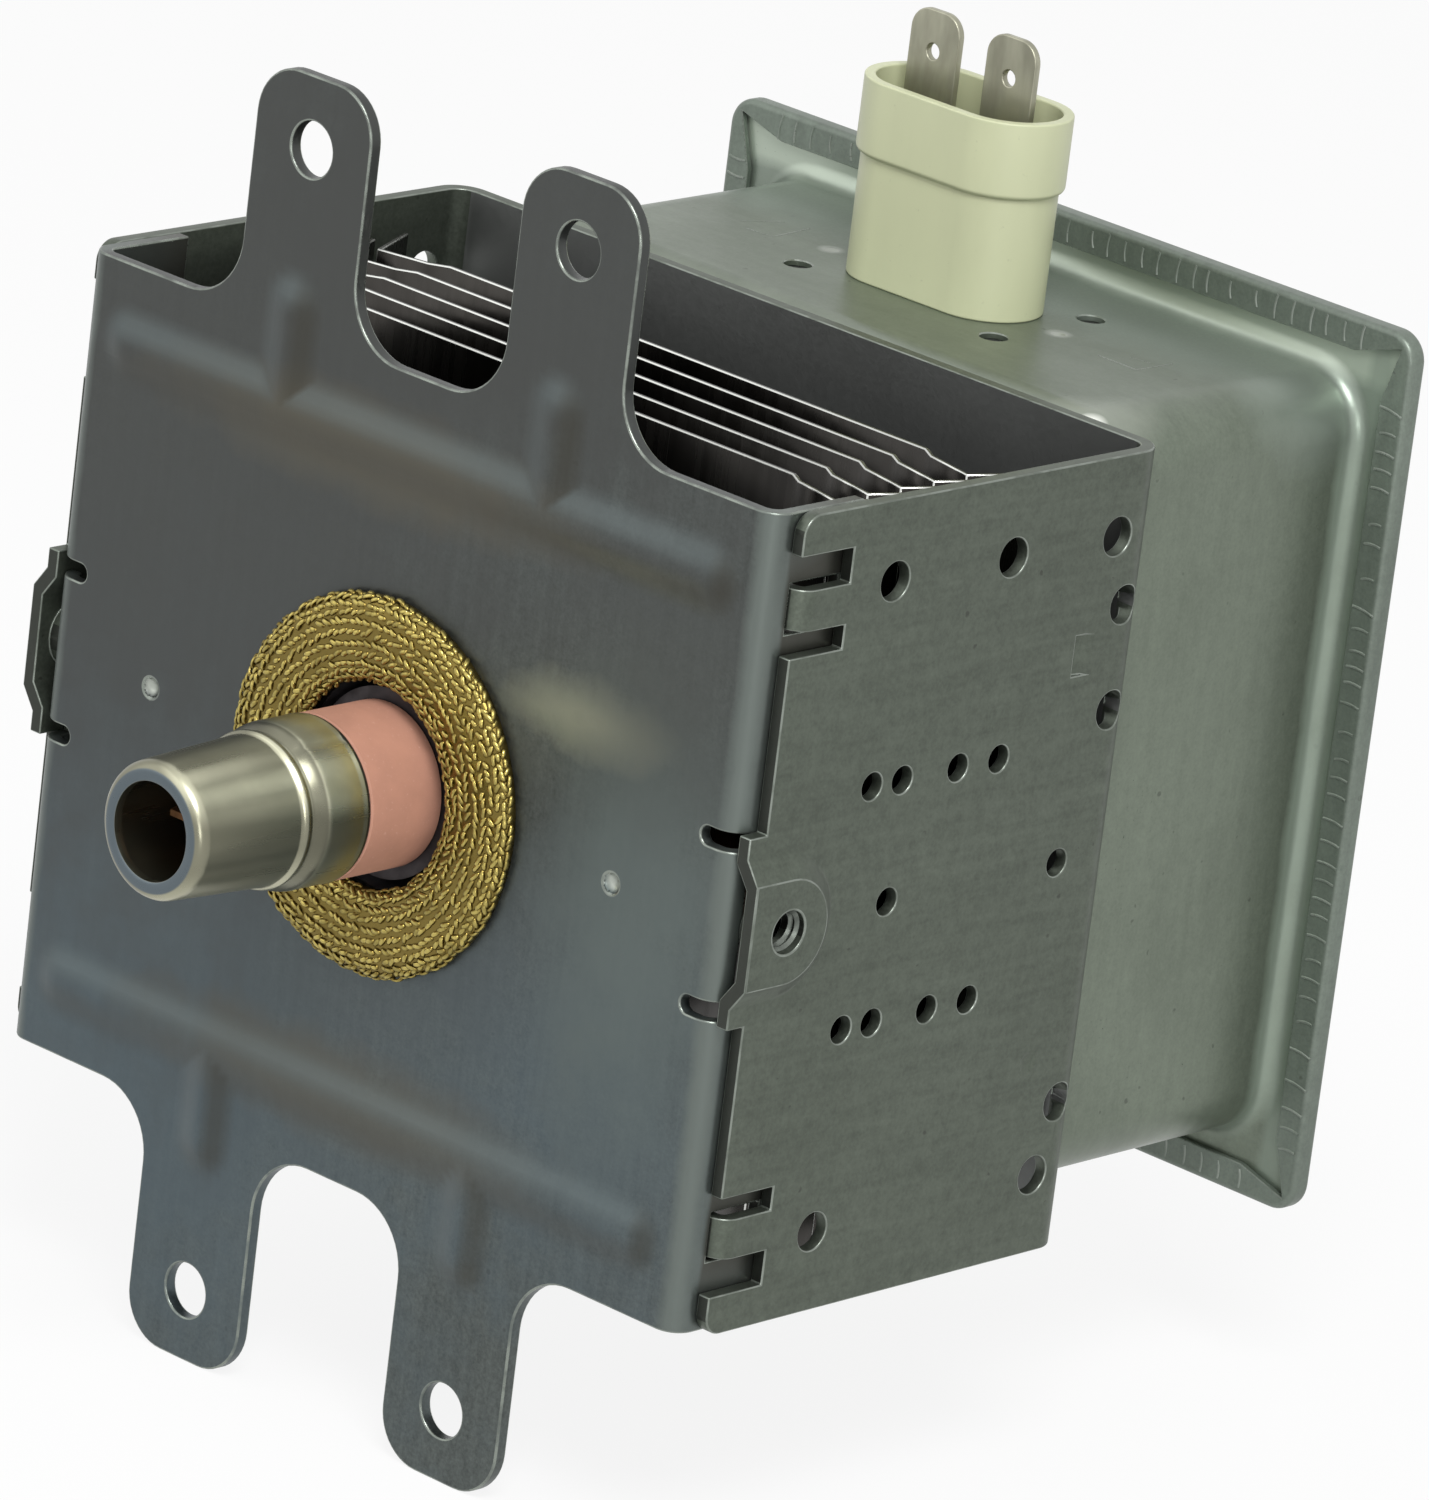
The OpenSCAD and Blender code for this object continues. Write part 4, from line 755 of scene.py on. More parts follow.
class MAGNETRON_OT_screw_threads(bpy.types.Operator):
    """Cut threads into the two tapped holes of the yoke"""

    bl_idname = "magnetron.screw_threads"
    bl_label = "Screw threads"

    def execute(self, context):
        sheet = context.scene.magnetron_sheet
        holes = [m for m in frame["record"]["mounts"] if m["kind"] == "threaded_hole"]
        bright = darker(sheet.edge_color, 0.8)
        material = clouded("thread_steel", bright, darker(sheet.edge_color, 0.5), 900.0, 0.35, 0.9)
        pitch = 0.8 * MM
        lead = 0.22 * MM
        crest = 0.34 * MM
        profile = ((0.0, 0.0), (0.36, crest), (0.48, crest), (0.84, 0.0))
        width = profile[-1][0] * pitch
        steps = 28
        for hole in holes:
            radius = hole["dims"]["r_mm"] * MM
            depth = hole["dims"]["length_mm"] * MM
            out = Vector(hole["axis"])
            count = int(steps * (depth - 2.0 * lead - width) / pitch)
            start = Vector(hole["pos_m"]) - out * (depth - lead)
            bm = bmesh.new()
            corners = [
                bm.verts.new(start + out * (along * pitch) + Vector((0.0, 0.0, radius - rise)))
                for along, rise in profile
            ]
            edges = [bm.edges.new(pair) for pair in zip(corners, corners[1:])]
            bmesh.ops.spin(
                bm,
                geom=corners + edges,
                cent=start,
                axis=out,
                dvec=out * (pitch / steps),
                angle=2.0 * math.pi * count / steps,
                steps=count,
                use_merge=False,
            )
            bmesh.ops.recalc_face_normals(bm, faces=bm.faces)
            outward = 0.0
            for face in bm.faces:
                spot = face.calc_center_median() - start
                outward += face.normal.dot(spot - out * spot.dot(out))
            if outward > 0.0:
                bmesh.ops.reverse_faces(bm, faces=bm.faces)
            make_piece(bm, hole["name"] + "_thread", material)
        return {"FINISHED"}


class MAGNETRON_OT_gasket(bpy.types.Operator):
    """Knit the brass gasket from rows of wire loops"""

    bl_idname = "magnetron.gasket"
    bl_label = "Gasket"

    def execute(self, context):
        knit = context.scene.magnetron_gasket
        inner = knit.bore / 2.0
        outer = GASKET[1].x
        rise = -GASKET[0].y
        half = (outer - inner) / 2.0
        middle = inner + half

        def rim(share, shrink):
            """A point of the ring's section, as its radius and its height over the plate."""
            turn = math.pi * share
            return middle - (half - shrink) * math.cos(turn), (rise - shrink) * math.sqrt(max(math.sin(turn), 0.0))

        bm = bmesh.new()
        bm.verts.layers.float.new("crown")
        points = 24
        core = [rim(k / points, 0.8 * knit.lift) for k in range(points + 1)]
        # The ring under the stitches keeps a crown of 0 and so takes the painted shade in full.
        turned(bm, [(r, -y) for r, y in core], steps=96)
        stitch = self.stitch(knit)
        noise.seed_set(KNIT_SEED)
        for row in range(knit.rows):
            share = 0.05 + 0.90 * row / (knit.rows - 1)
            r, y = rim(share, knit.lift)
            ahead = rim(share + 0.01, knit.lift)
            slope = math.atan2(ahead[1] - y, ahead[0] - r)
            count = int(2.0 * math.pi * r / knit.stitch)
            lean = knit.lean if row % 2 else -knit.lean
            for k in range(count):
                shake = noise.noise_vector((3.7 * row + 0.3, 1.93 * k, 0.5))
                add_copy(
                    bm,
                    stitch,
                    Matrix.Rotation(2.0 * math.pi * (k + 0.5 * (row % 2) + 0.5 * shake.x) / count, 4, "Y")
                    @ Matrix.Translation((r + 0.3 * MM * shake.y, -y, 0.0))
                    @ Matrix.Rotation(-slope, 4, "Z")
                    @ Matrix.Rotation(lean + 0.7 * shake.z, 4, "Y")
                    @ Matrix.Diagonal((1.0, 1.0 + 0.35 * shake.x, 1.0 + 0.4 * shake.y, 1.0)),
                )
        stitch.free()
        make_piece(bm, "gasket_knit", self.brass(knit), ["rf_gasket"], crease=180.0)
        return {"FINISHED"}

    def stitch(self, knit):
        """One arched leg of wire along Z, with its crown towards -Y."""
        reach = 0.42 * knit.stitch
        bm = bmesh.new()
        crown = bm.verts.layers.float.new("crown")
        ring = bmesh.ops.create_circle(bm, segments=7, radius=knit.wire / 2.0, cap_ends=False)["verts"]
        bmesh.ops.rotate(bm, verts=ring, cent=(0, 0, 0), matrix=Matrix.Rotation(math.pi / 2.0, 3, "X"))
        bmesh.ops.translate(bm, verts=ring, vec=(0.0, 0.0, reach))
        first = bm.verts[:] + bm.edges[:]
        bmesh.ops.spin(bm, geom=first, cent=(0, 0, 0), axis=(1, 0, 0), angle=math.pi, steps=6, use_merge=False)
        bmesh.ops.recalc_face_normals(bm, faces=bm.faces)
        bmesh.ops.scale(bm, verts=bm.verts, vec=(1.0, knit.lift / (reach + knit.wire / 2.0), 1.0))
        for vert in bm.verts:
            vert[crown] = min(max(-vert.co.y / knit.lift, 0.0), 1.0)
        return bm

    def brass(self, knit):
        """Brass wire with painted shade down between the stitches."""
        material, tree, shader, coords = new_material("gasket_wire_and_painted_shade", 0.9)
        tarnish = spread(tree, cloud(tree, coords, 700.0, 3.0), 0.35, 0.7)
        tone = mixed(tree, tarnish, knit.brass_color, darker(knit.brass_color, 0.55))
        # Painted shade where the crown mask is low, between the stitches.
        tone = mixed(tree, spread(tree, masked(tree, "crown"), 0.45, 0.95), knit.shade_color, tone)
        paint(tree, shader, tone, spread(tree, tarnish, 0.0, 1.0, 0.22, 0.42))
        return material


class MAGNETRON_OT_output(bpy.types.Operator):
    """Turn the antenna cap, and finish the ceramic, the seal and the exhaust tube"""

    bl_idname = "magnetron.output"
    bl_label = "Output"

    def execute(self, context):
        tube = context.scene.magnetron_tube
        self.cap(tube)
        self.ceramic(tube)
        dress(clouded("seal_oxide", tube.seal_color, 0.55, 500.0, 0.45, 0.6), "output_seal")
        copper = clouded("tube_copper", tube.copper_color, 0.55, 260.0, 0.4, 0.95, stretch=(1.0, 0.2, 1.0))
        dress(copper, "exhaust_tube", "antenna_lead")
        return {"FINISHED"}

    def cap(self, tube):
        """The drawn cap: collar, bead of two rolls, tapered barrel and turned-in rim."""
        back = CAP[1].y
        total = CAP[1].y - CAP[0].y
        outline = [
            (7.5, 0.0), (7.78, 0.0), (7.98, 0.1), (8.06, 0.32), (8.1, 0.55), (8.02, 0.8), (8.04, 1.2), (8.06, 4.9),
            (7.98, 5.5), (7.74, 6.1), (7.4, 6.66), (7.26, 6.9), (7.3, 7.1), (7.44, 7.28), (7.56, 7.55), (7.5, 7.82),
            (7.34, 8.0), (7.22, 8.12), (7.18, 8.4), (6.66, 19.4), (6.6, 19.95), (6.42, 20.35), (6.1, 20.64),
            (5.7, 20.78), (5.45, 20.8), (4.9, 20.8), (4.74, 20.72), (4.7, 20.5), (4.7, 20.1), (4.8, 19.7),
            (5.95, 19.6), (6.1, 19.2), (6.55, 8.0), (6.7, 6.6), (7.5, 5.6),
        ]
        bm = bmesh.new()
        drawn = max(along for _, along in outline)
        turned(bm, [(radius * MM, back - along * total / drawn) for radius, along in outline], steps=128)
        self.crease(bm, back)
        make_piece(bm, "cap_shell", self.plating(tube, back), ["antenna_cap"], crease=50.0)

    def crease(self, bm, back):
        """Sinks a narrow crease along the collar's upper side."""
        depth = 0.16 * MM
        middle = math.radians(62.0)
        half = math.radians(4.5)
        start = 0.4 * MM
        end = 6.4 * MM
        inside = 7.55 * MM
        for vert in bm.verts:
            radius = math.hypot(vert.co.x, vert.co.z)
            if start < back - vert.co.y < end and radius > inside:
                off = math.atan2(vert.co.z, vert.co.x) - middle
                sink = depth * max(1.0 - abs(off) / half, 0.0)
                vert.co.x *= 1.0 - sink / radius
                vert.co.z *= 1.0 - sink / radius

    def plating(self, tube, back):
        """Painted highlights along the cap's upper and lower sides with a painted dark reflection between, painted
        shade on the foot, and painted dark reflections on the shoulder and face.
        """
        material, tree, shader, coords = new_material("cap_plating_and_painted_light", 0.95)

        def towards(degrees):
            """How far a place lies from the axis in a direction across it."""
            turn = math.radians(degrees)
            direction = (math.cos(turn), 0.0, math.sin(turn))
            node = put(tree, "ShaderNodeVectorMath", {0: coords, 1: direction}, operation="DOT_PRODUCT")
            return node.outputs["Value"]

        lines = cloud(tree, stretched(tree, coords, (1.0, 0.04, 1.0)), 700.0, 3.0)
        broad = cloud(tree, coords, 150.0, 3.0)
        # Painted highlight bands on the cap's upper and lower sides.
        upper = spread(tree, towards(56.0), 5.0 * MM, 7.2 * MM)
        lower = spread(tree, towards(-62.0), 4.4 * MM, 7.4 * MM, 0.0, 0.45)
        tone = mixed(tree, plus(tree, upper, lower), tube.cap_dull, tube.cap_color)
        tone = mixed(tree, spread(tree, broad, 0.35, 0.7, 0.0, 0.25), tone, tube.cap_dull)
        depth = put(tree, "ShaderNodeSeparateXYZ", {0: coords}).outputs["Y"]
        # A painted reflection on the front face, painted shade at the collar's foot and a painted dark reflection on
        # the shoulder.
        face = spread(tree, depth, CAP[0].y + 0.12 * MM, CAP[0].y + 0.04 * MM)
        tone = mixed(tree, face, tone, tube.face_color)
        foot = spread(tree, depth, back - 0.62 * MM, back - 0.46 * MM)
        tone = mixed(tree, foot, tone, darker(tube.face_color, 0.6))
        shoulder = times(
            tree,
            spread(tree, depth, back - 6.95 * MM, back - 6.75 * MM),
            spread(tree, depth, back - 5.35 * MM, back - 5.65 * MM),
        )
        tone = mixed(tree, times(tree, shoulder, 0.75), tone, darker(tube.cap_dull, 0.45))
        paint(tree, shader, tone, spread(tree, lines, 0.25, 0.75, 0.26, 0.34))
        dent(tree, shader, lines, 0.08, 0.03 * MM)
        return material

    def ceramic(self, tube):
        """The ceramic tube with worn rims."""
        lo, hi = CERAMIC
        outer = hi.x
        inner = 6.3 * MM
        worn = 0.25 * MM
        bm = bmesh.new()
        outline = [
            (inner, lo.y), (outer - worn, lo.y), (outer, lo.y + worn),
            (outer, hi.y - worn), (outer - worn, hi.y), (inner, hi.y),
        ]
        turned(bm, outline, steps=96)
        material, tree, shader, coords = new_material("pink_alumina", 0.0, 0.25)
        mottle = cloud(tree, coords, 220.0, 4.0)
        grit = cloud(tree, coords, 2600.0, 2.0)
        tone = mottled(tree, mottle, 0.3, 0.75, tube.ceramic_color, 0.86)
        tone = mixed(tree, spread(tree, grit, 0.62, 0.8, 0.0, 0.25), tone, tube.grit_color)
        paint(tree, shader, tone, spread(tree, mottle, 0.2, 0.8, 0.62, 0.75))
        dent(tree, shader, grit, 0.15, 0.02 * MM)
        make_piece(bm, "ceramic_tube", material, ["output_ceramic"])


class MAGNETRON_OT_fins(bpy.types.Operator):
    """Finish the cooling fins"""

    bl_idname = "magnetron.fins"
    bl_label = "Cooling fins"

    def execute(self, context):
        tube = context.scene.magnetron_tube
        material, tree, shader, coords = new_material("fin_sheet_and_painted_shade", 1.0)
        lines = cloud(tree, stretched(tree, coords, (1.0, 1.0, 0.04)), 900.0, 3.0)
        stain = cloud(tree, coords, 70.0, 4.0)
        # The fins' faces carry painted shade; their sheared edges stay bright.
        tone = mottled(tree, stain, 0.4, 0.75, tube.fin_color, 0.7)
        tone = mixed(tree, masked(tree, "edge"), tone, tube.fin_edge)
        paint(tree, shader, tone, spread(tree, lines, 0.2, 0.8, 0.20, 0.32))
        dent(tree, shader, lines, 0.08, 0.02 * MM)
        for name in sorted(frame["nodes"]):
            if name.startswith("cooling_fin"):
                bm = merged_copy(name, {"X": (0.0,), "Z": (0.0,)})
                soften(bm, tube.fin_round, 60.0, segments=1)
                make_piece(bm, name + "_sheet", material, [name])
        return {"FINISHED"}


class MAGNETRON_OT_tube(bpy.types.Operator):
    """Finish the hidden tube: magnets, anode, poles and cathode"""

    bl_idname = "magnetron.tube"
    bl_label = "Vacuum tube"

    def execute(self, context):
        tube = context.scene.magnetron_tube
        copper = clouded("anode_copper", tube.copper_color, 0.6, 180.0, 0.4, 0.95, 0.1)
        ferrite = clouded("magnet_ferrite", tube.magnet_color, 2.2, 420.0, 0.62, 0.0, 0.5)
        iron = clouded("pole_iron", (0.22, 0.22, 0.21), (0.14, 0.14, 0.14), 300.0, 0.45, 0.9, 0.1)
        hot = clouded("cathode_metal", (0.20, 0.20, 0.20), (0.11, 0.11, 0.12), 600.0, 0.4, 0.9, 0.1)
        white = clouded("stem_alumina", (0.72, 0.70, 0.64), (0.62, 0.60, 0.54), 250.0, 0.68, 0.0, 0.2)
        seal = clouded("stem_seal_metal", (0.24, 0.23, 0.22), (0.14, 0.13, 0.13), 400.0, 0.4, 0.9, 0.1)
        dress(ferrite, "front_magnet", "rear_magnet")
        dress(iron, "front_pole", "rear_pole")
        dress(hot, "filament", "front_hat", "rear_hat", "centre_lead", "side_lead")
        dress(seal, "stem_seal")
        dress(white, "stem_ceramic")
        for name in frame["nodes"]:
            if name.startswith("anode_") or name.endswith("_strap"):
                dress(copper, name)
        return {"FINISHED"}


class MAGNETRON_OT_filter_box(bpy.types.Operator):
    """Finish the drawn filter box and its hemmed cover, with painted light on the box"""

    bl_idname = "magnetron.filter_box"
    bl_label = "Filter box"

    def execute(self, context):
        sheet = context.scene.magnetron_sheet
        bm = merged_copy("filter_box", {"X": (-15.1, -13.0, 0.0, 13.0, 15.1), "Y": (71.6,), "Z": (0.4,)})
        soften(bm, sheet.box_round, segments=1)
        right, back, top = (along / MM for along in TRAY[1])
        bend = (35.2, 53.6, 37.9)
        bead = (0.0, back - 0.8, top - 3.4)
        near_flange = (0.0, back - 6.0, top - 4.0)
        # Painted light on the box: a highlight along the front top rounding, a highlight on the flange's bead, lifted
        # shade near the flange on the top and along the right flange, and a bright highlight with a paler surround on
        # the top corner; the hole patches make paler rings round the two clinch holes.
        patches = [
            patch((0.285, 0.315, 0.265), 0.55, (0.0, 53.2, 38.6), (0.0, 1.0, 1.0), 0.8, 2.0),
            patch((0.31, 0.37, 0.305), 0.85, (0.0, back - 2.1, 0.0), (0.0, 1.0, 0.0), 0.4, 1.1),
            patch((0.225, 0.265, 0.225), 0.9, near_flange, (0.0, 0.8, 0.8), 4.0, 5.0),
            patch((0.42, 0.48, 0.40), 0.85, bead, (0.0, 1.0, 1.0), 1.2, 1.4),
            patch((0.21, 0.255, 0.21), 0.6, (right - 3.4, back - 0.8, 0.0), (1.0, 1.0, 0.0), 0.8, 1.2),
            patch((0.36, 0.39, 0.33), 0.6, bend, (1.0, 0.6, 1.0), 2.0, 4.0),
            patch((0.95, 0.97, 0.90), 1.0, bend, (1.0, 0.7, 1.0), 1.0, 0.8),
        ]
        for side in (-1.0, 1.0):
            hole = (side * 15.1, 71.6, 39.3)
            patches.append(patch((0.42, 0.44, 0.40), 0.7, hole, (1.0, 1.0, 1.0), 0.7, 0.8))
        rolling = (0.12, 1.0, 0.12)
        color = sheet.tray_color
        tray = plated_steel(sheet, "tray_plating_and_painted_light", color, 0.9, 0.36, 0.3, rolling, patches, metallic=0.55)
        flat_normals(make_piece(bm, "filter_tray", tray, ["filter_box"]))

        bm = merged_copy("filter_cover", {"X": (0.0,), "Z": (0.4,)})
        inset = 0.01 * MM
        rim_x = COVER[1].x - inset
        rim_z = (COVER[0].z + inset, COVER[1].z - inset)
        corner = 3.2 * MM

        def on_rim(edge):
            """True for an edge of the folded rim's outside, round its corners too."""
            spot = (edge.verts[0].co + edge.verts[1].co) / 2.0
            near_x = abs(spot.x) > rim_x
            near_z = spot.z < rim_z[0] or spot.z > rim_z[1]
            in_corner = abs(spot.x) > rim_x - corner and (spot.z < rim_z[0] + corner or spot.z > rim_z[1] - corner)
            along = abs(edge.verts[0].co.y - edge.verts[1].co.y) < SAME
            outside = min(abs(spot.y - COVER[0].y), abs(spot.y - COVER[1].y)) < SAME
            return along and outside and (near_x or near_z or in_corner)

        soften(bm, sheet.hem_round, segments=4, chosen=on_rim, rubbed=0.12)
        soften(bm, sheet.cover_round, 60.0, segments=1)
        rolling = (1.0, 1.0, 0.06)
        lid = plated_steel(sheet, "lid_plating", sheet.lid_color, 0.86, 0.40, 0.4, rolling, metallic=0.35)
        flat_normals(make_piece(bm, "filter_lid", lid, ["filter_cover"]))
        self.crimps(lid)
        self.scribes(tray)
        return {"FINISHED"}

    def scribes(self, material):
        """Fine marks that the press left on the box's top, beside the connector."""
        flange = 5.22 * MM
        width = 0.16 * MM
        height = 0.03 * MM
        lines = (
            ((21.8, 69.8), (26.9, 69.7)), ((26.9, 69.7), (27.1, 74.8)), ((23.6, 72.4), (25.9, 72.8)),
            ((-24.1, 68.9), (-20.8, 69.2)), ((-20.8, 69.2), (-21.2, 75.0)), ((-26.3, 70.3), (-24.0, 74.3)),
        )
        bm = bmesh.new()
        for start, end in lines:
            run = Vector(end) - Vector(start)
            spot = (Vector(start) + Vector(end)) / 2.0 * MM
            place = (
                Matrix.Translation((spot.x, spot.y, TRAY[1].z - flange))
                @ Matrix.Rotation(math.atan2(run.y, run.x), 4, "Z")
                @ Matrix.Diagonal((run.length * MM, width, height, 1.0))
            )
            bmesh.ops.create_cube(bm, size=1.0, matrix=place)
        rub(bm, 1.0)
        make_piece(bm, "box_scribes", material)

    def stroke(self):
        """One curved stroke along Z, centred on the axis, with its back towards -Y."""
        bend = 4.2 * MM
        sweep = math.radians(30.0)
        profile = ((-0.16, 0.03), (-0.07, -0.09), (0.07, -0.09), (0.16, 0.03))
        bm = bmesh.new()
        first = [bm.verts.new((out * MM, up * MM, 0.0)) for out, up in profile]
        edges = [bm.edges.new(pair) for pair in zip(first, first[1:] + first[:1])]
        spun = bmesh.ops.spin(bm, geom=first + edges, cent=(bend, 0, 0), axis=(0, 1, 0), angle=sweep, steps=5)
        last = [item for item in spun["geom_last"] if isinstance(item, bmesh.types.BMVert)]
        for ring in (first, last):
            bmesh.ops.contextual_create(bm, geom=ring)
        bmesh.ops.rotate(bm, verts=bm.verts, cent=(bend, 0, 0), matrix=Matrix.Rotation(-sweep / 2.0, 3, "Y"))
        bmesh.ops.recalc_face_normals(bm, faces=bm.faces)
        rub(bm, 0.75)
        return bm

    def crimps(self, material):
        """Strokes that the folding tool pressed across the hem, a few millimetres apart."""
        bm = bmesh.new()
        bm.faces.layers.float.new("edge")
        stroke = self.stroke()
        middle = (COVER[0] + COVER[1]) / 2.0
        reach = (COVER[1] - COVER[0]) / 2.0
        margin = 6.5 * MM
        inset = 1.7 * MM
        closest = 1.6
        spare = 3.4
        for quarter in range(4):
            turn = 90.0 * quarter
            out, end = (reach.z, reach.x) if quarter % 2 else (reach.x, reach.z)
            place = margin - end
            while place < end - margin:
                shake = noise.noise(Vector((place * 310.0, turn, 0.7)))
                add_copy(
                    bm,
                    stroke,
                    Matrix.Translation((middle.x, COVER[0].y, middle.z))
                    @ Matrix.Rotation(math.radians(turn), 4, "Y")
                    @ Matrix.Translation((out - inset, 0.0, place))
                    @ Matrix.Rotation(math.radians(90.0) + 0.3 * shake, 4, "Y")
                    @ Matrix.Diagonal((1.0, 1.0, 1.0 + 0.5 * shake, 1.0)),
                )
                place += (closest + spare * abs(shake)) * MM
        stroke.free()
        make_piece(bm, "hem_crimps", material)


class MAGNETRON_OT_connector(bpy.types.Operator):
    """Round the connector's moulded edges and finish it and its tabs"""

    bl_idname = "magnetron.connector"
    bl_label = "Connector"

    def execute(self, context):
        part = context.scene.magnetron_filter
        bm = merged_copy("connector_shell", {"X": (0.0,), "Y": (71.6,)})
        lo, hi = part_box("connector_shell")
        middle = (lo + hi) / 2.0
        slim = 1.0 - part.shell_slim / (hi.x - middle.x)
        step = min(v.co.z for v in bm.verts if v.co.x > hi.x - NEAR)

        def under_collar(edge):
            """True for an edge along the foot of the collar's outside."""
            spots = [vert.co - middle for vert in edge.verts]
            level = all(abs(vert.co.z - step) < NEAR for vert in edge.verts)
            return level and all(self.outermost(spot, hi - middle) for spot in spots)

        soften(bm, part.collar_round, segments=4, chosen=under_collar)
        soften(bm, part.shell_round, segments=3)
        to_axis = Matrix.Translation((-middle.x, -middle.y, 0.0))
        bmesh.ops.scale(bm, verts=bm.verts, vec=(slim, slim, 1.0), space=to_axis)
        material, tree, shader, coords = new_material("cream_plastic", 0.0, 0.5)
        flow = cloud(tree, stretched(tree, coords, (1.0, 1.0, 0.35)), 90.0, 4.0)
        specks = cloud(tree, coords, 1500.0, 2.0)
        tone = mottled(tree, flow, 0.3, 0.75, part.shell_color, 0.9)
        tone = mixed(tree, spread(tree, specks, 0.68, 0.8, 0.0, 0.3), tone, darker(part.shell_color, 0.6))
        paint(tree, shader, tone, spread(tree, flow, 0.2, 0.8, 0.34, 0.46))
        dent(tree, shader, specks, 0.06, 0.03 * MM)
        flat_normals(make_piece(bm, "connector_body", material, ["connector_shell"]))
        tin = clouded("tab_tin", part.tab_color, 0.7, 420.0, 0.4, 0.85, 0.15, stretch=(1.0, 1.0, 0.3))
        for side in ("left", "right"):
            bm = merged_copy(side + "_terminal", {"X": (-5.0, 5.0)})
            soften(bm, part.tab_round)
            flat_normals(make_piece(bm, side + "_tab", tin, [side + "_terminal"]))
        return {"FINISHED"}

    def outermost(self, spot, reach):
        """True for a place on the outside of the oval collar."""
        straight = reach.x - reach.y
        past = max(abs(spot.x) - straight, 0.0)
        slack = 0.1 * MM
        return math.hypot(past, spot.y) > reach.y - slack


class MAGNETRON_OT_chokes(bpy.types.Operator):
    """Finish the parts inside the filter box"""

    bl_idname = "magnetron.chokes"
    bl_label = "Chokes and capacitor"

    def execute(self, context):
        part = context.scene.magnetron_filter
        tube = context.scene.magnetron_tube
        enamel = clouded("choke_enamel", part.choke_color, 0.6, 500.0, 0.3, 0.4)
        core = clouded("core_ferrite", tube.magnet_color, 2.0, 500.0, 0.6, 0.0, 0.4)
        plate = clouded("ground_zinc", (0.26, 0.27, 0.25), (0.18, 0.19, 0.18), 300.0, 0.42, 0.85, 0.1)
        case = clouded("case_plastic", (0.035, 0.034, 0.033), (0.055, 0.053, 0.050), 260.0, 0.5, 0.0, 0.2)
        dress(enamel, "left_choke", "right_choke")
        dress(core, "left_core", "right_core")
        dress(plate, "capacitor_plate")
        dress(case, "capacitor_case")
        return {"FINISHED"}


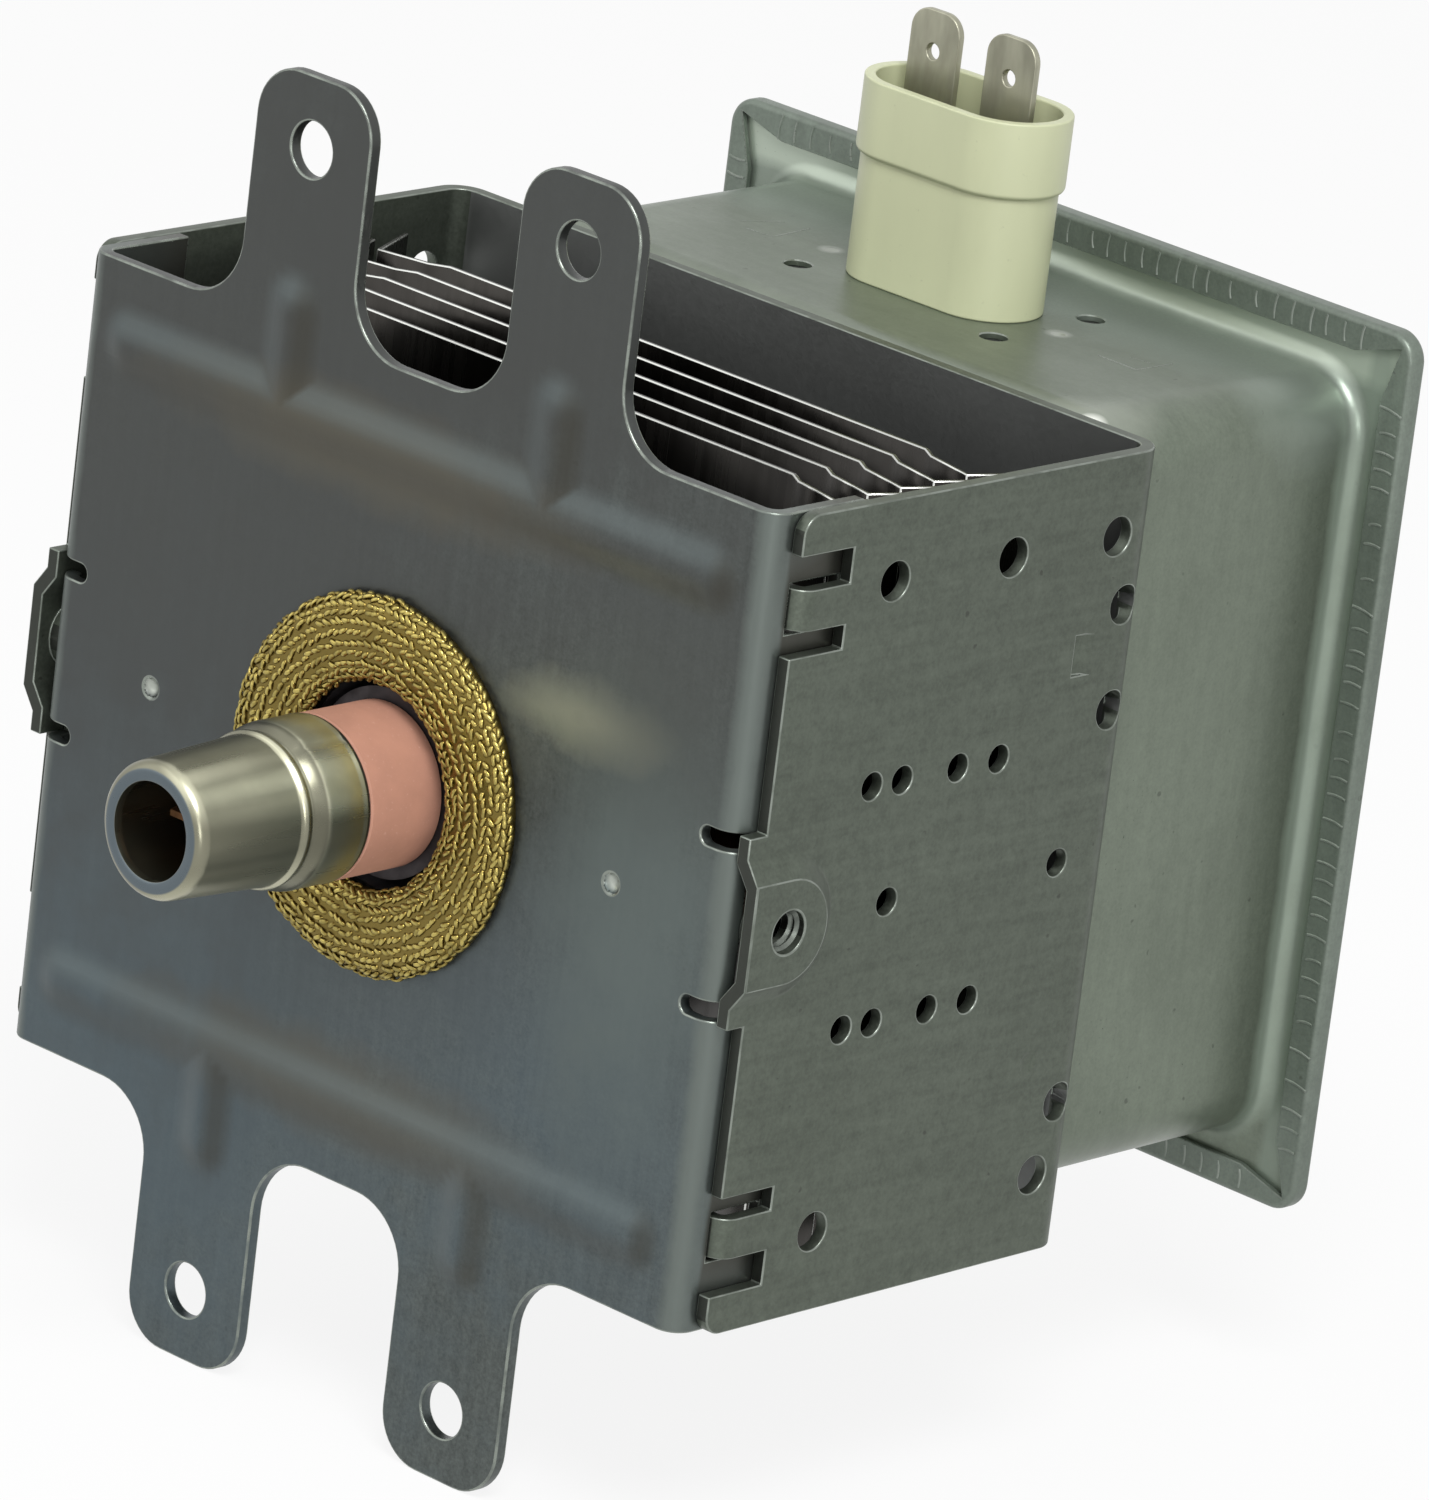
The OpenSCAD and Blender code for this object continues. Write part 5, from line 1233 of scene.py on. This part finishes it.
class MAGNETRON_OT_stage(bpy.types.Operator):
    """Set up the pale floor, the soft lights, the world and the camera"""

    bl_idname = "magnetron.stage"
    bl_label = "Studio"

    def execute(self, context):
        stage = context.scene.magnetron_stage
        context.scene.view_settings.view_transform = "Standard"
        self.floor(stage)
        self.world(stage)
        self.light("key_light", (0.62, -0.52, 1.04), stage.key_power, 0.5)
        self.light("fill_light", (-0.9, -1.2, 0.9), stage.fill_power, 2.0)
        self.light("side_light", (1.0, -0.85, 0.18), stage.side_power, 0.4)
        self.camera(context, stage)
        return {"FINISHED"}

    def shown_white(self, tree):
        """1 for rays that should meet a white background, 0 for those that carry light."""
        path = tree.nodes.new("ShaderNodeLightPath").outputs
        first = sums(tree, "MAXIMUM", path["Is Camera Ray"], path["Is Glossy Ray"])
        return sums(tree, "MAXIMUM", first, path["Is Transmission Ray"])

    def floor(self, stage):
        """A wide pale floor under the lower lugs that keeps a soft shadow."""
        bm = bmesh.new()
        bmesh.ops.create_grid(bm, x_segments=8, y_segments=8, size=6.0)
        bmesh.ops.translate(bm, verts=bm.verts, vec=(0.0, 0.0, PLATE[0].z))
        mesh = bpy.data.meshes.new("studio_floor")
        bm.to_mesh(mesh)
        bm.free()
        material = bpy.data.materials.new("studio_floor")
        material.use_nodes = True
        tree = material.node_tree
        tree.nodes.remove(tree.nodes["Principled BSDF"])
        paper = put(tree, "ShaderNodeBsdfDiffuse", {"Color": (*stage.floor_color, 1.0)})
        glow = put(tree, "ShaderNodeEmission", {"Color": (1.0, 1.0, 1.0, 1.0), "Strength": 1.0})
        share = times(tree, self.shown_white(tree), stage.floor_white)
        both = put(tree, "ShaderNodeMixShader", {0: share, 1: paper.outputs[0], 2: glow.outputs[0]})
        tree.links.new(both.outputs[0], tree.nodes["Material Output"].inputs["Surface"])
        mesh.materials.append(material)
        floor = bpy.data.objects.new("studio_floor", mesh)
        bpy.context.scene.collection.objects.link(floor)

    def world(self, stage):
        """A white surround that lights the object only softly."""
        world = bpy.data.worlds.new("studio")
        world.use_nodes = True
        tree = world.node_tree
        back = tree.nodes["Background"]
        back.inputs["Color"].default_value = (1.0, 1.0, 1.0, 1.0)
        strength = spread(tree, self.shown_white(tree), 0.0, 1.0, stage.ambient, 1.0)
        tree.links.new(strength, back.inputs["Strength"])
        bpy.context.scene.world = world

    def light(self, name, place, power, size):
        """A square soft light that points at the object."""
        lamp = bpy.data.lights.new(name, "AREA")
        lamp.energy = power
        lamp.size = size
        source = bpy.data.objects.new(name, lamp)
        aim = LIT_PLACE - Vector(place)
        source.rotation_euler = aim.to_track_quat("-Z", "Y").to_euler()
        source.location = place
        bpy.context.scene.collection.objects.link(source)

    def camera(self, context, stage):
        """The photograph's own view, from a point and a long lens."""
        back = Vector((
            math.sin(stage.azimuth) * math.cos(stage.elevation),
            -math.cos(stage.azimuth) * math.cos(stage.elevation),
            math.sin(stage.elevation),
        ))
        level = Vector((math.cos(stage.azimuth), math.sin(stage.azimuth), 0.0))
        over = back.cross(level)
        right = math.cos(stage.roll) * level + math.sin(stage.roll) * over
        up = math.cos(stage.roll) * over - math.sin(stage.roll) * level
        across = (stage.origin_x - PHOTO_WIDTH / 2.0) * stage.distance / stage.focal
        above = (PHOTO_HEIGHT / 2.0 - stage.origin_y) * stage.distance / stage.focal
        lens = bpy.data.cameras.new("camera")
        lens.sensor_width = SENSOR
        lens.lens = stage.focal / PHOTO_HEIGHT * SENSOR
        lens.clip_start = 0.05
        eye = bpy.data.objects.new("camera", lens)
        turn = Matrix((right, up, back)).transposed().to_4x4()
        eye.matrix_world = Matrix.Translation(back * stage.distance - right * across - up * above) @ turn
        context.scene.collection.objects.link(eye)
        context.scene.camera = eye


class MAGNETRON_PT_panel(bpy.types.Panel):
    """Lists the magnetron's pieces and their settings"""

    bl_idname = "MAGNETRON_PT_panel"
    bl_label = "Magnetron"
    bl_space_type = "VIEW_3D"
    bl_region_type = "UI"
    bl_category = "Magnetron"

    def draw(self, context):
        for operator in OPERATORS:
            self.layout.operator(operator.bl_idname)
        for name, (_, heading) in SETTINGS.items():
            box = self.layout.box()
            box.label(text=heading)
            group = getattr(context.scene, name)
            for key in type(group).__annotations__:
                box.prop(group, key)


SETTINGS = {
    "magnetron_sheet": (SheetSettings, "Sheets"),
    "magnetron_gasket": (GasketSettings, "Gasket"),
    "magnetron_tube": (TubeSettings, "Tube"),
    "magnetron_filter": (FilterSettings, "Filter"),
    "magnetron_stage": (StageSettings, "Studio"),
}
OPERATORS = (
    MAGNETRON_OT_mounting_plate,
    MAGNETRON_OT_yoke,
    MAGNETRON_OT_screw_threads,
    MAGNETRON_OT_gasket,
    MAGNETRON_OT_output,
    MAGNETRON_OT_fins,
    MAGNETRON_OT_tube,
    MAGNETRON_OT_filter_box,
    MAGNETRON_OT_connector,
    MAGNETRON_OT_chokes,
    MAGNETRON_OT_stage,
)
CLASSES = tuple(group for group, _ in SETTINGS.values()) + OPERATORS + (MAGNETRON_PT_panel,)


def register():
    for cls in CLASSES:
        bpy.utils.register_class(cls)
    for name, (group, _) in SETTINGS.items():
        setattr(bpy.types.Scene, name, PointerProperty(type=group))


def unregister():
    for name in SETTINGS:
        delattr(bpy.types.Scene, name)
    for cls in reversed(CLASSES):
        bpy.utils.unregister_class(cls)


def main():
    """Registers the add-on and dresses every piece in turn."""
    register()
    bpy.ops.magnetron.mounting_plate()
    bpy.ops.magnetron.yoke()
    bpy.ops.magnetron.screw_threads()
    bpy.ops.magnetron.gasket()
    bpy.ops.magnetron.output()
    bpy.ops.magnetron.fins()
    bpy.ops.magnetron.tube()
    bpy.ops.magnetron.filter_box()
    bpy.ops.magnetron.connector()
    bpy.ops.magnetron.chokes()
    bpy.ops.magnetron.stage()


if __name__ == "__main__":
    main()
